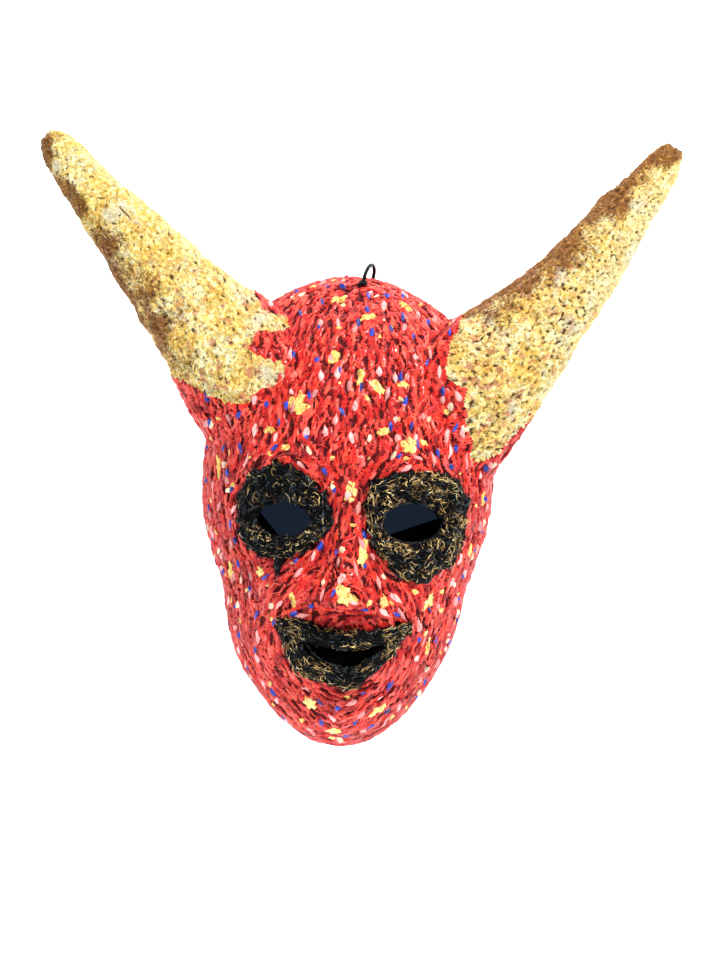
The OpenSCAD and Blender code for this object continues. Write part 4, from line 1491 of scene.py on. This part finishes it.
class Flakes:
    """Thin flakes spread over whatever lies under them."""

    def __init__(self, objs, seed):
        points, quads = [], []
        for obj in objs:
            mesh = obj.data
            co = np.empty(len(mesh.vertices) * 3)
            mesh.vertices.foreach_get("co", co)
            start = len(points)
            points += (co.reshape(-1, 3) / MM).tolist()
            quads += [tuple(i + start for i in p.vertices) for p in mesh.polygons]
        self.tree = BVHTree.FromPolygons(points, quads)
        self.rng = np.random.default_rng(seed)

    def free(self, x, z):
        """True where no gold, rim, lip or opening is."""
        spots = [(x, z), (x + 2.5, z), (x - 2.5, z), (x, z + 2.5), (x, z - 2.5)]
        return (min(rim_share(x, z, -1), rim_share(x, z, 1)) > 1.06 and lip_share(x, z) > 1.0
                and not any(inside_outline(a, b, GOLD_EDGE[side]) for side in (-1, 1) for a, b in spots))

    def over(self, x, z):
        """The place that lies in front at a point of the wall."""
        hit = self.tree.ray_cast(Vector((x, -220, z)), Vector((0, 1, 0)), 240)[0]
        return on_face(x, z) if hit is None else np.array(hit)

    def frame_at(self, x, z, turn):
        """The place at a point of the wall, with the ways out of, along and across a flake laid there."""
        reach = 2.5
        du = self.over(x + reach, z) - self.over(x - reach, z)
        dv = self.over(x, z + reach) - self.over(x, z - reach)
        here = self.over(x, z)
        normal = unit(np.cross(dv, du))
        if normal[1] > 0:
            normal = -normal
        normal = unit(normal + 0.5 * unit(here))
        up = unit(dv - dv.dot(normal) * normal)
        right = np.cross(up, normal)
        a = math.radians(turn)
        along = math.cos(a) * right + math.sin(a) * up
        return here, normal, along, np.cross(normal, along)

    def outline(self, spokes, jag, tail=0.0):
        """How far a flake reaches in each direction, as a share of its size."""
        rng = self.rng
        turn = np.linspace(0, 2 * np.pi, spokes, endpoint=False)
        reach = np.ones(spokes)
        for k in range(2, 9):
            reach += jag / k ** 0.5 * rng.normal() * np.cos(k * turn + rng.uniform(0, 6.28))
        reach = np.clip(reach, 0.35, 1.7)
        pinch = 1 - tail * np.clip(np.cos(turn), 0, 1) ** 1.2
        return reach * np.cos(turn), reach * np.sin(turn) * pinch

    def lay(self, heap, x, z, length, width, turn, thick, jag, spokes, rings, tail=0.0):
        here, normal, along, across = self.frame_at(x, z, turn)
        ox, oy = self.outline(spokes, jag, tail)
        shares = np.append(np.linspace(0, 0.9, rings)[1:], 1.0)
        spots, lifts = [here], [thick]
        for share in shares:
            for u, v in zip(ox, oy):
                spots.append(here + along * u * share * length / 2 + across * v * share * width / 2)
                lifts.append(thick * (1 - 0.6 * share ** 2) if share < 1 else -0.35)
        out = []
        for spot, lift in zip(spots, lifts):
            hit = self.tree.ray_cast(Vector(spot + normal * 8), Vector(-normal), 16)[0]
            base = np.array(hit) if hit is not None else spot
            out.append(base + normal * lift)
        faces = [(0, 1 + k, 1 + (k + 1) % spokes) for k in range(spokes)]
        for r in range(len(shares) - 1):
            a, b = 1 + r * spokes, 1 + (r + 1) * spokes
            faces += [(a + k, b + k, b + (k + 1) % spokes, a + (k + 1) % spokes) for k in range(spokes)]
        out = np.array(out)
        if np.dot(np.cross(out[1] - out[0], out[1 + spokes // 4] - out[0]), normal) < 0:
            faces = [f[::-1] for f in faces]
        heap.add(out, faces, tone=self.rng.random())

    def scatter(self, count, gap):
        """Places over the face, none nearer to another than a gap."""
        rng = self.rng
        kept = []
        tries = 0
        while len(kept) < count and tries < 60 * count:
            tries += 1
            angle = rng.uniform(0, 360)
            share = math.sqrt(rng.random()) if rng.random() < 0.75 else rng.uniform(0.92, 1.0)
            reach = float(around(OUTLINE, angle)) * share * 0.985
            x, z = reach * math.cos(math.radians(angle)), reach * math.sin(math.radians(angle))
            if not self.free(x, z):
                continue
            if all(math.hypot(x - a, z - b) > gap for a, b in kept):
                kept.append((x, z))
        return kept


class MASK_OT_flakes(bpy.types.Operator):
    """Presses the gold leaf and the blue, pink and cream scraps into the red pulp"""
    bl_idname = "mask.flakes"
    bl_label = "Flakes"

    def execute(self, context):
        under = red_ground()
        gold = Flakes(under, 50)
        heap = Heap()
        for x, z, length, width, turn in GOLD_PLACES:
            gold.lay(heap, x, z, length * 1.25, width * 1.25, turn, 0.35, 0.20, 44, 6)
        for x, z in gold.scatter(60, 9):
            size = gold.rng.uniform(1.2, 3.0)
            gold.lay(heap, x, z, size * 1.5, size, gold.rng.uniform(0, 180), 0.3, 0.2, 18, 3)
        dress(heap.mesh("gold_leaf_flakes"), gold_leaf(), "mask", "gold_leaf", "gold_flakes")
        kinds = (
            ("blue", "blue_scraps", 100, 8.6, (3.2, 6.6), (1.8, 3.1), 0.55, 0.14, 0.35),
            ("pink", "pink_scraps", 120, 8.0, (4.0, 9.5), (2.2, 3.8), 0.60, 0.10, 0.95),
            ("cream", "cream_scraps", 30, 13.0, (3.0, 5.5), (2.2, 3.6), 0.75, 0.12, 0.2),
        )
        for k, (main, name, count, gap, length, width, thick, jag, tail) in enumerate(kinds):
            flakes = Flakes(under, 60 + k)
            heap = Heap()
            for x, z in flakes.scatter(count, gap):
                way = strand_way(x, z, flakes.rng)
                turn = math.degrees(math.atan2(way[2], way[0])) + 180 * ((k + len(heap.points)) % 2)
                flakes.lay(heap, x, z, flakes.rng.uniform(*length), flakes.rng.uniform(*width), turn,
                           thick, jag, 14, 4, tail)
            paper = flake_paper(f"{main}_scrap", main)
            dress(heap.mesh(name), paper, "mask", f"{main}_paper", f"{main}_flakes")
        return {"FINISHED"}


class MASK_OT_fibres(bpy.types.Operator):
    """Lays fine curling fibres over the red pulp"""
    bl_idname = "mask.fibres"
    bl_label = "Loose fibres"

    def execute(self, context):
        skin = bpy.data.objects["red_pulp"]
        ground = Flakes(red_ground(), 90)
        rng = ground.rng
        heap = Heap()
        for x, z in ground.scatter(1100, 1.5):
            way = strand_way(x, z, rng)
            n = int(rng.integers(6, 13))
            heading = math.atan2(way[2], way[0]) + 0.5 * rng.normal()
            turns = heading + np.cumsum(rng.normal() * 0.16 + 0.25 * rng.normal(size=n))
            xs, zs = x + 0.9 * np.cumsum(np.cos(turns)), z + 0.9 * np.cumsum(np.sin(turns))
            thick = rng.uniform(0.13, 0.34)
            line = np.array([ground.over(a, b) for a, b in zip(xs, zs)])
            jumps = np.abs(np.diff(line[:, 1])) > 2.5
            if jumps.any() or not all(ground.free(a, b) for a, b in ((xs[0], zs[0]), (xs[-1], zs[-1]))):
                continue
            line[:, 1] -= 0.6 * thick
            shape = np.clip(np.sin(np.linspace(0.15, np.pi - 0.15, n)) ** 0.5, 0.3, 1)
            verts, faces = tube(line, thick * shape, 5)
            heap.add(verts, faces, tone=0.45 + 0.55 * rng.random(), hollow=0.0, slot=0.0, edge=0.0)
        dress(heap.mesh("loose_fibres"), skin.active_material, "mask", "red_pulp")
        return {"FINISHED"}


class MASK_OT_hidden_parts(bpy.types.Operator):
    """Gives the card cones and the nose's wad, which the skins cover, their own materials"""
    bl_idname = "mask.hidden_parts"
    bl_label = "Hidden parts"

    def execute(self, context):
        card, wad = brown_card(), plain_pulp()
        for node, material in (("left_horn_cone", card), ("right_horn_cone", card), ("nose_wad", wad)):
            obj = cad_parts[node]
            obj.data.materials.clear()
            obj.data.materials.append(material)
        return {"FINISHED"}


# ---------------------------------------------------------------- panel and main

OPERATORS = (
    MASK_OT_stage, MASK_OT_hanger, MASK_OT_paper_shell, MASK_OT_red_skin, MASK_OT_horns,
    MASK_OT_fibres, MASK_OT_eye_rims, MASK_OT_lips, MASK_OT_flakes, MASK_OT_hidden_parts,
)
GROUPS = {
    "face": FaceSizes, "openings": OpeningSizes, "horns": HornSizes, "cord": CordSizes, "colours": Colours,
}


class MASK_PT_panel(bpy.types.Panel):
    """Lists the mask's pieces and their sizes"""
    bl_idname = "MASK_PT_panel"
    bl_label = "Pulp devil mask"
    bl_space_type = "VIEW_3D"
    bl_region_type = "UI"
    bl_category = "Mask"

    def draw(self, context):
        for group, kind in GROUPS.items():
            box = self.layout.box()
            box.label(text=group.capitalize())
            for name in kind.__annotations__:
                box.prop(sizes(group), name)
        for operator in OPERATORS:
            self.layout.operator(operator.bl_idname)


def register():
    for kind in (*GROUPS.values(), *OPERATORS, MASK_PT_panel):
        bpy.utils.register_class(kind)
    for group, kind in GROUPS.items():
        setattr(bpy.types.Scene, "mask_" + group, bpy.props.PointerProperty(type=kind))


def unregister():
    for group in GROUPS:
        delattr(bpy.types.Scene, "mask_" + group)
    for kind in (MASK_PT_panel, *reversed(OPERATORS), *reversed(GROUPS.values())):
        bpy.utils.unregister_class(kind)


def main():
    register()
    for operator in OPERATORS:
        group, name = operator.bl_idname.split(".")
        getattr(getattr(bpy.ops, group), name)()
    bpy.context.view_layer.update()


if __name__ == "__main__":
    main()
